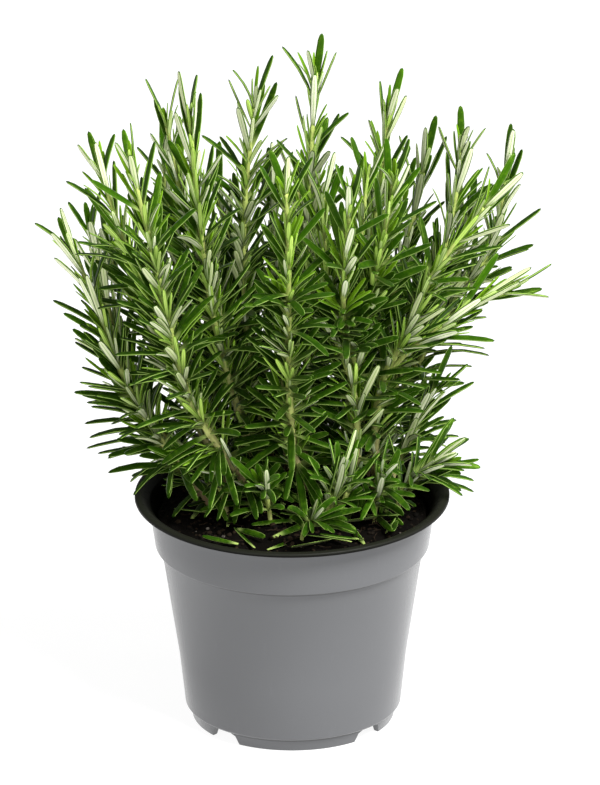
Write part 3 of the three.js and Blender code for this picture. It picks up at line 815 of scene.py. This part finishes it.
class Route:
    """One route of a stem, a smooth curve through its points."""

    def __init__(self, points, foot_radius, number, bare):
        self.points = [Vector(p) for p in points]
        self.foot_radius = foot_radius
        self.number = number
        self.bare = bare
        self.turn = math.radians(TURN_BETWEEN_ROUTES * number)
        marks = [self.curve(i / CURVE_MARKS) for i in range(CURVE_MARKS + 1)]
        self.reached = [0]
        for near, far in zip(marks, marks[1:]):
            self.reached.append(self.reached[-1] + (far - near).length)
        self.length = self.reached[-1] - TIP_TRIM

    def curve(self, t):
        last = len(self.points) - 1
        span = min(int(t * last), last - 1)
        w = t * last - span
        near, far = self.points[span], self.points[span + 1]
        before = self.points[span - 1] if span > 0 else 2 * near - far
        after = self.points[span + 2] if span + 2 <= last else 2 * far - near
        leave, arrive = (far - before) / 2, (after - near) / 2
        bent = 3 * (far - near) - 2 * leave - arrive
        return near + leave * w + bent * w * w + (2 * (near - far) + leave + arrive) * w ** 3

    def even(self, part):
        """The curve's own measure at this part of its length."""
        wanted = part * self.length
        low = min(bisect.bisect_right(self.reached, wanted), CURVE_MARKS) - 1
        step = self.reached[low + 1] - self.reached[low]
        return (low + (wanted - self.reached[low]) / step) / CURVE_MARKS

    def radius(self, part):
        return self.foot_radius + (TIP_RADIUS - self.foot_radius) * part

    def stand(self, part):
        """The place, heading, two cross directions and radius at this part of the length."""
        t = self.even(part)
        ahead, behind = self.curve(min(1, t + CURVE_NUDGE)), self.curve(max(0, t - CURVE_NUDGE))
        along = (ahead - behind).normalized()
        right = Matrix.Rotation(self.turn, 3, along) @ BACK.cross(along).normalized()
        return self.curve(t), along, right, right.cross(along), self.radius(part)

    def nodes(self):
        """Each leaf pair's number and how far it stands from the tip."""
        found = []
        from_tip = FIRST_NODE
        while from_tip < self.length - self.bare:
            found.append((len(found), from_tip))
            young = math.exp(-from_tip / NODE_GAP_REACH)
            from_tip += NODE_GAP_LOW - (NODE_GAP_LOW - NODE_GAP_TIP) * young
        return found


class Leaf:
    """One leaf: its foot, its directions, its bend and its size."""

    def __init__(self, stand, habit, way, width):
        turn_more, open_more, length_times = way
        point, along, right, front, _ = stand
        turn = math.radians(habit["turn"] + turn_more)
        opening = math.radians(max(OPEN_LEAST, habit["opening"] + open_more))
        outward = right * math.cos(turn) + front * math.sin(turn)
        self.root = point
        self.along = along * math.cos(opening) + outward * math.sin(opening)
        twisted = Matrix.Rotation(math.radians(habit["twist"]), 3, self.along)
        self.across = twisted @ along.cross(outward)
        self.bend = self.across.cross(self.along) * habit["bow"] - UP * habit["sag"]
        self.turn_to_light(habit["facing"])
        self.length = habit["length"] * length_times
        self.width = width
        self.tone = habit["tone"]
        # Age rises towards the back, which darkens the leaves there as painted shade.
        self.age = habit["age"] + SHADE_AT_BACK * share(point.y, 0, BACK_REACH)

    def turn_to_light(self, amount):
        """Turns the leaf on itself so that its upper side looks up, outward and to the front."""
        light = Vector((self.root.x, self.root.y, 0)).normalized() * LIGHT_OUTWARD
        light += UP * LIGHT_UP - BACK * LIGHT_FRONT
        light -= self.along * light.dot(self.along)
        above = self.along.cross(self.across) * (1 - amount) + light.normalized() * amount
        self.across = above.normalized().cross(self.along)

    def point(self, t):
        return self.root + self.along * (self.length * t) + self.bend * (self.length * t * t)

    def steps(self, free_from):
        count = math.ceil(self.length / STEP)
        parts = [(i + 1) / count for i in range(count)]
        return [(self.point(t), self.length * t > free_from) for t in parts]


def draw(route, node, side, what):
    """A repeatable draw from 0 to 1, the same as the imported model's."""
    wave = math.sin((route * 97 + node * 13 + side * 5 + what) * 12.9898) * 43758.5453
    return wave - math.floor(wave)


def leaf_habit(route_number, node, side, from_tip):
    """How a leaf of a pair grows, before anything is in its way."""
    age = share(from_tip, 0, OLD_AT)
    young = math.exp(-from_tip / YOUNG_REACH)
    shut = math.exp(-from_tip / OPEN_REACH)
    opening = OPEN_LOW - (OPEN_LOW - OPEN_TIP) * shut + OPEN_OLD * age * age
    steady = 1 - (1 - OPEN_SPREAD_YOUNG) * young
    chance = [draw(route_number, node, side, what) for what in range(7)]
    length = LEAF_LENGTH * (1 - YOUNG_SHORTER * young) * (1 + LENGTH_SPREAD * (chance[3] - 0.5))
    return {
        "turn": 90 * node + 180 * side + TURN_SPREAD * (chance[1] - 0.5),
        "opening": opening + OPEN_SPREAD * (chance[2] - 0.5) * steady,
        "length": length,
        "twist": TWIST_SPREAD * (chance[4] - 0.5),
        "bow": BOW_LEAST + (BOW_MOST - BOW_LEAST) * chance[5] ** 2,
        "sag": SAG_OLD * age,
        "tone": chance[6],
        "age": AGE_AT_TIP + (1 - AGE_AT_TIP) * share(from_tip, 0, GROWN_AT),
        "facing": FACING_OLD * age ** FACING_CURVE,
    }


class Room:
    """Where stems and leaves stand so far, so that each new leaf keeps clear of them."""

    def __init__(self):
        self.cubes = {}

    def cube(self, point):
        return tuple(math.floor(place / CUBE) for place in point)

    def take(self, point, radius, stem, outer):
        held = (point.x, point.y, point.z, radius, stem, outer)
        for cube in itertools.product(*((n - 1, n, n + 1) for n in self.cube(point))):
            self.cubes.setdefault(cube, []).append(held)

    def is_free(self, point, stem, outer, radius, same_stem_gap):
        for x, y, z, other_radius, other_stem, other_outer in self.cubes.get(self.cube(point), ()):
            if other_stem == stem:
                gap = same_stem_gap if outer and other_outer else 0
            else:
                gap = radius + other_radius + CLEARANCE
            if (point.x - x) ** 2 + (point.y - y) ** 2 + (point.z - z) ** 2 < gap * gap:
                return False
        return True

    def place(self, stand, habit, stem, ways, size):
        """The leaf in the first way that is clear of everything, or None.

        Size is its radius and its gap on the same stem, where that gap starts, and its width."""
        radius, same_stem_gap, free_from, width = size
        for way in ways:
            leaf = Leaf(stand, habit, way, width)
            steps = leaf.steps(free_from)
            if all(is_allowed(point) and self.is_free(point, stem, outer, radius, same_stem_gap)
                   for point, outer in steps):
                for point, outer in steps:
                    self.take(point, radius, stem, outer)
                return leaf
        return None


def is_allowed(point):
    """True over the soil or the lip or outside the pot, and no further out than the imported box."""
    for low, value, high in zip(PACKED_BOX[0], point * MM, PACKED_BOX[1]):
        if not low - BOX_MARGIN * MM < value < high + BOX_MARGIN * MM:
            return False
    radius = math.hypot(point.x, point.y)
    if radius > POT_SAFE_RADIUS:
        return True
    below = soil_height(radius) if radius < POT_MOUTH_RADIUS else POT_HEIGHT
    return point.z > below + SOIL_CLEARANCE


def leaf_places(all_routes):
    """Each leaf of each pair: its stem, route, pair, distance from the tip, and side."""
    for stem, routes in enumerate(all_routes):
        for route in routes:
            for node, from_tip in route.nodes():
                for side in (0, 1):
                    yield stem, route, node, from_tip, side


def grown_leaves(all_routes, look):
    """The leaves of every stem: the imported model's pairs, then the short shoots between them."""
    room = Room()
    leaves = [[] for _ in all_routes]
    for stem, routes in enumerate(all_routes):
        for route in routes:
            count = math.ceil(route.length / STEP)
            for i in range(count + 1):
                room.take(route.curve(route.even(i / count)), route.radius(i / count), stem, False)
    pair_size = (LEAF_RADIUS, SAME_STEM_GAP, SAME_STEM_FROM, look.leaf_width / MM)
    for stem, route, node, from_tip, side in leaf_places(all_routes):
        stand = route.stand(1 - from_tip / route.length)
        habit = leaf_habit(route.number, node, side, from_tip)
        habit["age"] = max(habit["age"], lowness(stand[0]))
        leaves[stem].append(room.place(stand, habit, stem, WAYS_CLEAR, pair_size))
    for place in leaf_places(all_routes):
        leaves[place[0]] += short_shoot(room, place, look)
    return [[leaf for leaf in found if leaf] for found in leaves]


def lowness(point):
    """From 0 in the light to 1 near the soil."""
    return share(point.z, IN_THE_LIGHT_FROM, IN_THE_DARK_FROM)


def short_shoot(room, place, look):
    """The smaller, steeper leaves over one leaf of a pair, and older ones beside it."""
    stem, route, node, from_tip, side = place
    grown = []
    ripe = share(from_tip, 0, TUFT_FULL_AT)
    low = lowness(route.stand(1 - from_tip / route.length)[0])
    old = max(low, share(from_tip, OLD_FROM, OLD_FULL_AT))
    old *= min(1, OLD_ON_SHORT_ROUTE + route.length / OLD_FULL_ROUTE)
    tuft = 1 + round(look.short_shoot_leaves * ripe)
    for k in range(tuft + round(look.old_leaves * old)):
        first = FINE_DRAWS_FROM + FINE_DRAWS_APART * k
        turn, opening, length, twist, tone, shift, width, late = [
            least + more * draw(route.number, node, side, first + what)
            for what, (least, more) in enumerate(TUFT_CHANCES if k < tuft else OLD_CHANCES)
        ]
        habit = leaf_habit(route.number, node, side, from_tip)
        if k < tuft:
            habit["opening"] = TUFT_OPENING_LEAST + habit["opening"] * opening
            habit["length"] *= TUFT_LENGTH_AT_TIP + (1 - TUFT_LENGTH_AT_TIP) * ripe
            habit.update(age=max(late, TUFT_AGE_LOW * low), sag=0, facing=0)
            shift *= 1 if from_tip > TIP_TUFT_REACH else TIP_TUFT_SHIFT
        else:
            habit["opening"] *= opening + OLD_OPENING_LOW * low
            habit["opening"] += late * low
            habit["sag"] += OLD_SAG_LOW * low
            habit.update(age=max(habit["age"], low), facing=OLD_FACING)
        habit["turn"] += turn if k % 2 else -turn
        habit["length"] *= length
        habit["twist"] += twist
        habit["tone"] = tone
        stand = route.stand(min(1, 1 - (from_tip - shift) / route.length))
        width *= look.leaf_width / MM
        size = (FINE_LEAF_RADIUS, FINE_SAME_STEM_GAP, FINE_SAME_STEM_FROM, width)
        grown.append(room.place(stand, habit, stem, SHORT_SHOOT_WAYS, size))
    return grown


# ---- Stems and leaves: their meshes ----

LEAF_LAYERS = ("across", "side", "way", "tone", "age")


def leaf_template():
    """A leaf of length 1 and half width 1 that stands along Z, with its top towards Y."""
    sides = len(LEAF_SECTION)
    bm = rod(sides, len(LEAF_RINGS))
    layers = {name: bm.verts.layers.float.new(name) for name in LEAF_LAYERS}
    tip_ring = []
    for corner in bm.verts:
        ring = round(corner.co.z * len(LEAF_RINGS))
        angle = math.atan2(corner.co.x, corner.co.y)
        across, height, side = LEAF_SECTION[round(angle / (2 * math.pi) * sides) % sides]
        corner[layers["across"]] = across
        corner[layers["side"]] = side
        if ring == len(LEAF_RINGS):
            tip_ring.append(corner)
            continue
        way, width = LEAF_RINGS[ring]
        corner[layers["way"]] = way
        thick = LEAF_THIN_END + (1 - LEAF_THIN_END) * width
        corner.co = (across * width, height * thick, way)
    for corner in tip_ring:
        corner[layers["way"]] = 1
    bmesh.ops.pointmerge(bm, verts=tip_ring, merge_co=(0, 0, 1))
    bmesh.ops.recalc_face_normals(bm, faces=bm.faces)
    return mesh_of(bm, "leaf")


def add_leaf(bm, template, shape, leaf, layers):
    """Adds one leaf. Shape has each template corner's part along the leaf and place across it."""
    half = leaf.width / 2
    rings = {}
    for way in {way for way, _, _ in shape}:
        heading = (leaf.along + leaf.bend * (2 * way)).normalized()
        above = heading.cross(leaf.across).normalized()
        rings[way] = (leaf.point(way) * MM, leaf.across * (half * MM), above * (half * MM))
    for corner, (way, across, height) in zip(add_shape(bm, template), shape):
        middle, sideways, above = rings[way]
        corner.co = middle + sideways * across + above * height
        corner[layers["tone"]] = leaf.tone
        corner[layers["age"]] = leaf.age


def add_bark(bm, route, layers, look):
    """Adds one route's stem, swollen at its leaf pairs and rough on its old wood."""
    sections = math.ceil(route.length * MM / look.stem_section)
    pairs = [from_tip for _, from_tip in route.nodes()]
    before = len(bm.faces)
    bar = mesh_of(rod(look.stem_sides, sections), "bar")
    stands = {}
    for corner in add_shape(bm, bar):
        part = round(corner.co.z, 5)
        if part not in stands:
            stands[part] = route.stand(part)
        point, along, right, front, radius = stands[part]
        from_tip = (1 - part) * route.length
        swelling = sum(math.exp(-(((from_tip - pair) / SWELLING_REACH) ** 2)) for pair in pairs)
        spot = Vector((corner.co.x, corner.co.y, from_tip * BARK_FINENESS_ALONG))
        rough = noise.noise(spot * BARK_FINENESS + point * BARK_FINENESS_OF_PLACE)
        wide = radius * (BARK_EVEN + BARK_SWELLING * swelling + BARK_ROUGHNESS * rough)
        corner.co = (point + right * (corner.co.x * wide) + front * (corner.co.y * wide)) * MM
        corner[layers["tone"]] = route.number * BARK_TONE_STEP % 1
        low = 1 - share(point.z, SOIL_EDGE_HEIGHT, SOIL_EDGE_HEIGHT + LOW_WOOD_REACH)
        low *= share(from_tip, 0, LOW_WOOD_FULL_AT)
        corner[layers["age"]] = BARK_AGE * (share(from_tip, 0, OLD_AT) + low)
    bpy.data.meshes.remove(bar)
    bm.faces.ensure_lookup_table()
    for face in bm.faces[before:]:
        face.material_index = 1


def stem_mesh(routes, leaves, name, look):
    """The leaves and the bark of one stem, or leaves alone where it has no routes."""
    bm = bmesh.new()
    layers = {layer: bm.verts.layers.float.new(layer) for layer in LEAF_LAYERS}
    template = leaf_template()
    shape = [(round(v.co.z, 4), v.co.x, v.co.y) for v in template.vertices]
    for leaf in leaves:
        add_leaf(bm, template, shape, leaf, layers)
    bpy.data.meshes.remove(template)
    for route in routes:
        add_bark(bm, route, layers, look)
    return mesh_of(bm, name)


def fallen_leaf(chance, look):
    """A leaf that lies on the soil, with both ends inside the pot."""
    x, y = spot_on_soil(chance, FALLEN_INSET)
    bearing = chance.uniform(0, 2 * math.pi)
    slope = chance.uniform(*FALLEN_SLOPE)
    flat = Vector((math.cos(bearing), math.sin(bearing), slope)).normalized()
    length = chance.uniform(*FALLEN_LENGTH)
    if math.hypot(x + flat.x * length, y + flat.y * length) > SOIL_EDGE_RADIUS - FALLEN_WALL_GAP:
        flat.x, flat.y = -flat.x, -flat.y
    point = Vector((x, y, soil_top(x, y, look.soil_roughness) + FALLEN_RISE))
    aside = flat.cross(UP).normalized()
    habit = {
        "turn": 0,
        "opening": 90,
        "length": length,
        "twist": chance.uniform(-FALLEN_TWIST, FALLEN_TWIST),
        "bow": chance.uniform(-FALLEN_BOW, FALLEN_BOW),
        "sag": 0,
        "tone": FALLEN_TONE_LEAST + (1 - FALLEN_TONE_LEAST) * chance.random(),
        "age": FALLEN_AGE,
        "facing": 0,
    }
    stand = (point, UP.copy(), flat, aside, 0)
    return Leaf(stand, habit, (0, 0, 1), chance.uniform(*FALLEN_WIDTH))


# ---- Studio ----


def aim(item, target):
    item.rotation_mode = "QUATERNION"
    item.rotation_quaternion = (Vector(target) - item.location).to_track_quat("-Z", "Y")


def soft_light(name, spot, size, power):
    lamp = bpy.data.lights.new(name, "AREA")
    lamp.shape = "RECTANGLE"
    lamp.size, lamp.size_y = size
    lamp.energy = power
    item = shown(name, lamp)
    item.location = spot
    aim(item, LIT_MIDDLE)


def camera_for(look):
    """The photograph's view: a long lens, a little above the pot's rim, seen from the front."""
    tilt = math.radians(look.camera_height_angle)
    target = Vector(look.camera_target)
    cam = bpy.data.cameras.new("front")
    cam.sensor_width = SENSOR_WIDTH
    cam.lens = cam.sensor_width / 2 / (look.framed_height / 2 / look.camera_distance)
    cam.clip_end = SEEN_TO
    item = shown("front", cam)
    item.location = target + look.camera_distance * Vector((0, -math.cos(tilt), math.sin(tilt)))
    aim(item, target)
    roll = Matrix.Rotation(look.camera_roll, 4, "Z").to_quaternion()
    item.rotation_quaternion = item.rotation_quaternion @ roll
    bpy.context.scene.camera = item


# ---- Settings ----


def colour_setting(name, description, default):
    return FloatVectorProperty(name=name, description=description, subtype="COLOR", size=3,
                               min=0, max=1, default=default)


def number_setting(name, description, default, **limits):
    return FloatProperty(name=name, description=description, default=default, **limits)


def length_setting(name, description, default, least):
    return number_setting(name, description, default, unit="LENGTH", subtype="DISTANCE", min=least)


def power_setting(name, description, default):
    return number_setting(name, description, default, unit="POWER", min=0)


def count_setting(name, description, default, least, most):
    return IntProperty(name=name, description=description, default=default, min=least, max=most)


class PotSettings(bpy.types.PropertyGroup):
    outside_colour: colour_setting("Outside", "Grey plastic outside the pot", (0.1, 0.102, 0.107))
    inside_colour: colour_setting("Inside", "Black plastic inside the pot and on its lip",
                                  (0.0018, 0.0018, 0.0012))
    rim_colour: colour_setting("Rim", "The top of the lip", (0.009, 0.0094, 0.0067))
    # Besides soil dust on the black plastic, this colour is painted shade in the creases outside.
    dust_and_crease_shade_colour: colour_setting("Dust", "Soil dust on the black plastic and in the creases outside",
                                (0.006, 0.005, 0.0035))
    outside_roughness: number_setting("Roughness", "How dull the grey plastic is", 0.2,
                                      subtype="FACTOR", min=0, max=1)
    sides: count_setting("Sides", "Steps round the pot", 144, 24, 360)
    edge_rounding: length_setting("Edge rounding", "How far edges are rounded", 0.0003, 0)


class SoilSettings(bpy.types.PropertyGroup):
    peat_colour: colour_setting("Peat", "Damp peat", (0.002, 0.0015, 0.0011))
    crumb_colour: colour_setting("Crumbs", "Drier crumbs of peat", (0.0027, 0.0021, 0.0014))
    fibre_colour: colour_setting("Fibres", "Fibres and bark", (0.025, 0.016, 0.009))
    white_grain_colour: colour_setting("Pale grains", "Mineral grains", (0.16, 0.145, 0.12))
    soil_roughness: number_setting("Unevenness", "How rough the soil's top is, 1 as it is found", 1,
                                   min=0, max=3)
    soil_rings: count_setting("Rings", "Rings of faces across the soil", 64, 8, 200)
    soil_sides: count_setting("Sides", "Steps round the soil", 200, 24, 400)
    crumbs: count_setting("Crumbs", "How many crumbs and grains lie on it", 900, 0, 5000)
    fibres: count_setting("Fibres", "How many fibres lie on it", 70, 0, 500)
    fallen_leaves: count_setting("Fallen leaves", "How many leaves lie on it", 72, 0, 500)


class PlantSettings(bpy.types.PropertyGroup):
    young_green: colour_setting("Young leaf", "Leaves near the tips, above", (0.17, 0.34, 0.012))
    leaf_green: colour_setting("Leaf", "Grown leaves, above", (0.028, 0.09, 0.0025))
    old_green: colour_setting("Old leaf", "The oldest leaves, above", (0.011, 0.037, 0.0016))
    # The margin colour is a painted highlight along the edges of a leaf.
    margin_highlight_colour: colour_setting("Margin", "The fine pale edge of a leaf", (0.42, 0.6, 0.15))
    felt_colour: colour_setting("Underside", "Pale felt under a leaf", (0.85, 0.89, 0.65))
    felt_shade_colour: colour_setting("Underside shade", "Duller felt under a leaf",
                                      (0.42, 0.49, 0.18))
    young_felt_colour: colour_setting("Young underside", "Under the small leaves near the stems",
                                      (0.5, 0.7, 0.15))
    leaf_foot_colour: colour_setting("Leaf foot", "Where a leaf joins its stem", (0.33, 0.42, 0.12))
    young_stem_colour: colour_setting("Young stem", "Bark near the tips", (0.42, 0.5, 0.13))
    tan_stem_colour: colour_setting("Tan stem", "Bark half way down", (0.6, 0.55, 0.24))
    wood_colour: colour_setting("Wood", "Bark near the soil", (0.25, 0.17, 0.09))
    leaf_width: length_setting("Leaf width", "Width of a grown leaf", 0.0033, 0.0005)
    short_shoot_leaves: count_setting("Short shoot leaves", "Small leaves over each grown leaf",
                                      4, 0, 9)
    old_leaves: count_setting("Old leaves", "More leaves beside each old leaf", 7, 0, 9)
    stem_sides: count_setting("Stem sides", "Steps round a stem", 8, 4, 24)
    stem_section: length_setting("Stem section", "Length of one section of a stem", 0.0016, 0.0005)


class StudioSettings(bpy.types.PropertyGroup):
    floor_colour: colour_setting("Floor", "The plain floor", (0.15, 0.15, 0.15))
    floor_glow: number_setting("Floor glow", "Light of the floor itself, as of a light table", 0.92,
                               min=0)
    camera_target: FloatVectorProperty(name="Looks at", description="The middle of the view",
                                       unit="LENGTH", subtype="TRANSLATION", size=3,
                                       default=(0.0035, 0, 0.1428))
    camera_distance: length_setting("Distance", "Camera to the middle of the view", 10, 0.5)
    camera_height_angle: number_setting("Angle", "Degrees that the camera looks down", 22.7)
    camera_roll: number_setting("Roll", "Turn of the camera about its own view", math.radians(-0.3),
                                unit="ROTATION", subtype="ANGLE")
    framed_height: length_setting("Framed height", "Height of the view at its middle", 0.3233, 0.01)
    sky_strength: number_setting("Sky", "Strength of the light from all round", 0.28, min=0)
    key_power: power_setting("Key light", "Power of the high light", 160)
    fill_power: power_setting("Fill light", "Power of the side light", 8)
    front_power: power_setting("Front light", "Power of the low light at the front", 14)


# ---- Operators ----


class ROSEMARY_OT_pot(bpy.types.Operator):
    """Models the nursery pot, with its lip, band, feet and drain holes"""

    bl_idname = "rosemary.pot"
    bl_label = "Model the pot"

    def execute(self, context):
        look = context.scene.rosemary_pot
        mesh = pot_mesh(look)
        finishes = [pot_outside_finish(look), pot_inside_finish(look)]
        pot = finish_piece(mesh, "nursery_pot", ["pot"], finishes)
        cut_away(pot, foot_gap_mesh())
        cut_away(pot, drain_mesh())
        pot.data.shade_smooth()
        pot.data.set_sharp_from_angle(angle=SHARP_FROM_ANGLE)
        return {"FINISHED"}


class ROSEMARY_OT_soil(bpy.types.Operator):
    """Models the soil and what lies on it"""

    bl_idname = "rosemary.soil"
    bl_label = "Model the soil"

    def execute(self, context):
        look = context.scene.rosemary_soil
        plant = context.scene.rosemary_plant
        chance = random.Random(11)
        peat = soil_mesh(look)
        finish_piece(peat, "peat", ["soil"], [peat_finish(look)])
        crumbs = crumbs_mesh(look, chance)
        finish_piece(crumbs, "crumbs_and_fibres", ["soil"], [grain_finish(look)])
        fallen = [fallen_leaf(chance, look) for _ in range(look.fallen_leaves)]
        mesh = stem_mesh([], fallen, "fallen_leaves", plant)
        finish_piece(mesh, "fallen_leaves", ["soil"], [leaf_finish(plant)])
        return {"FINISHED"}


class ROSEMARY_OT_stems(bpy.types.Operator):
    """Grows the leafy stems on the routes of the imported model"""

    bl_idname = "rosemary.stems"
    bl_label = "Grow the stems"

    def execute(self, context):
        look = context.scene.rosemary_plant
        all_routes = []
        for stem, (foot, rooted, *branches) in enumerate(STEMS):
            number = stem * ROUTE_NUMBERS_A_STEM
            routes = [Route(rooted, foot, number, BARE_FOOT)]
            for i, branch in enumerate(branches):
                routes.append(Route(branch, BRANCH_RADIUS, number + i + 1, BARE_ON_BRANCH))
            all_routes.append(routes)
        finishes = [leaf_finish(look), stem_finish(look)]
        for stem, leaves in enumerate(grown_leaves(all_routes, look)):
            name = f"leafy_stem_{stem + 1:02d}"
            mesh = stem_mesh(all_routes[stem], leaves, name, look)
            finish_piece(mesh, name, [f"stem_{stem + 1:02d}"], finishes)
        return {"FINISHED"}


class ROSEMARY_OT_studio(bpy.types.Operator):
    """Sets up the floor, the soft lights and the camera"""

    bl_idname = "rosemary.studio"
    bl_label = "Set up the studio"

    def execute(self, context):
        look = context.scene.rosemary_studio
        bm = bmesh.new()
        bmesh.ops.create_grid(bm, x_segments=1, y_segments=1, size=FLOOR_REACH)
        mesh = mesh_of(bm, "studio_floor")
        mesh.materials.append(floor_finish(look))
        floor = shown("studio_floor", mesh)
        soft_light("key", *KEY_LIGHT, look.key_power)
        soft_light("fill", *FILL_LIGHT, look.fill_power)
        soft_light("front", *FRONT_LIGHT, look.front_power)
        world = bpy.data.worlds.new("studio")
        world.use_nodes = True
        sky = world.node_tree.nodes["Background"]
        sky.inputs["Color"].default_value = (1, 1, 1, 1)
        sky.inputs["Strength"].default_value = look.sky_strength
        context.scene.world = world
        context.scene.view_settings.view_transform = "Standard"
        camera_for(look)
        return {"FINISHED"}


class ROSEMARY_PT_panel(bpy.types.Panel):
    """Lists the steps that make the plant and their settings"""

    bl_idname = "ROSEMARY_PT_panel"
    bl_label = "Potted Rosemary"
    bl_space_type = "VIEW_3D"
    bl_region_type = "UI"
    bl_category = "Rosemary"

    def draw(self, context):
        for step in STEPS:
            self.layout.operator(step.bl_idname)
        for group, names in SETTINGS.items():
            box = self.layout.box()
            for name in names.__annotations__:
                box.prop(getattr(context.scene, group), name)


STEPS = (ROSEMARY_OT_pot, ROSEMARY_OT_soil, ROSEMARY_OT_stems, ROSEMARY_OT_studio)
SETTINGS = {
    "rosemary_pot": PotSettings,
    "rosemary_soil": SoilSettings,
    "rosemary_plant": PlantSettings,
    "rosemary_studio": StudioSettings,
}


def register():
    for item in (*SETTINGS.values(), *STEPS, ROSEMARY_PT_panel):
        bpy.utils.register_class(item)
    for name, group in SETTINGS.items():
        setattr(bpy.types.Scene, name, PointerProperty(type=group))


def unregister():
    for name in SETTINGS:
        delattr(bpy.types.Scene, name)
    for item in reversed((*SETTINGS.values(), *STEPS, ROSEMARY_PT_panel)):
        bpy.utils.unregister_class(item)


def main():
    register()
    bpy.ops.rosemary.pot()
    bpy.ops.rosemary.soil()
    bpy.ops.rosemary.stems()
    bpy.ops.rosemary.studio()


if __name__ == "__main__":
    main()
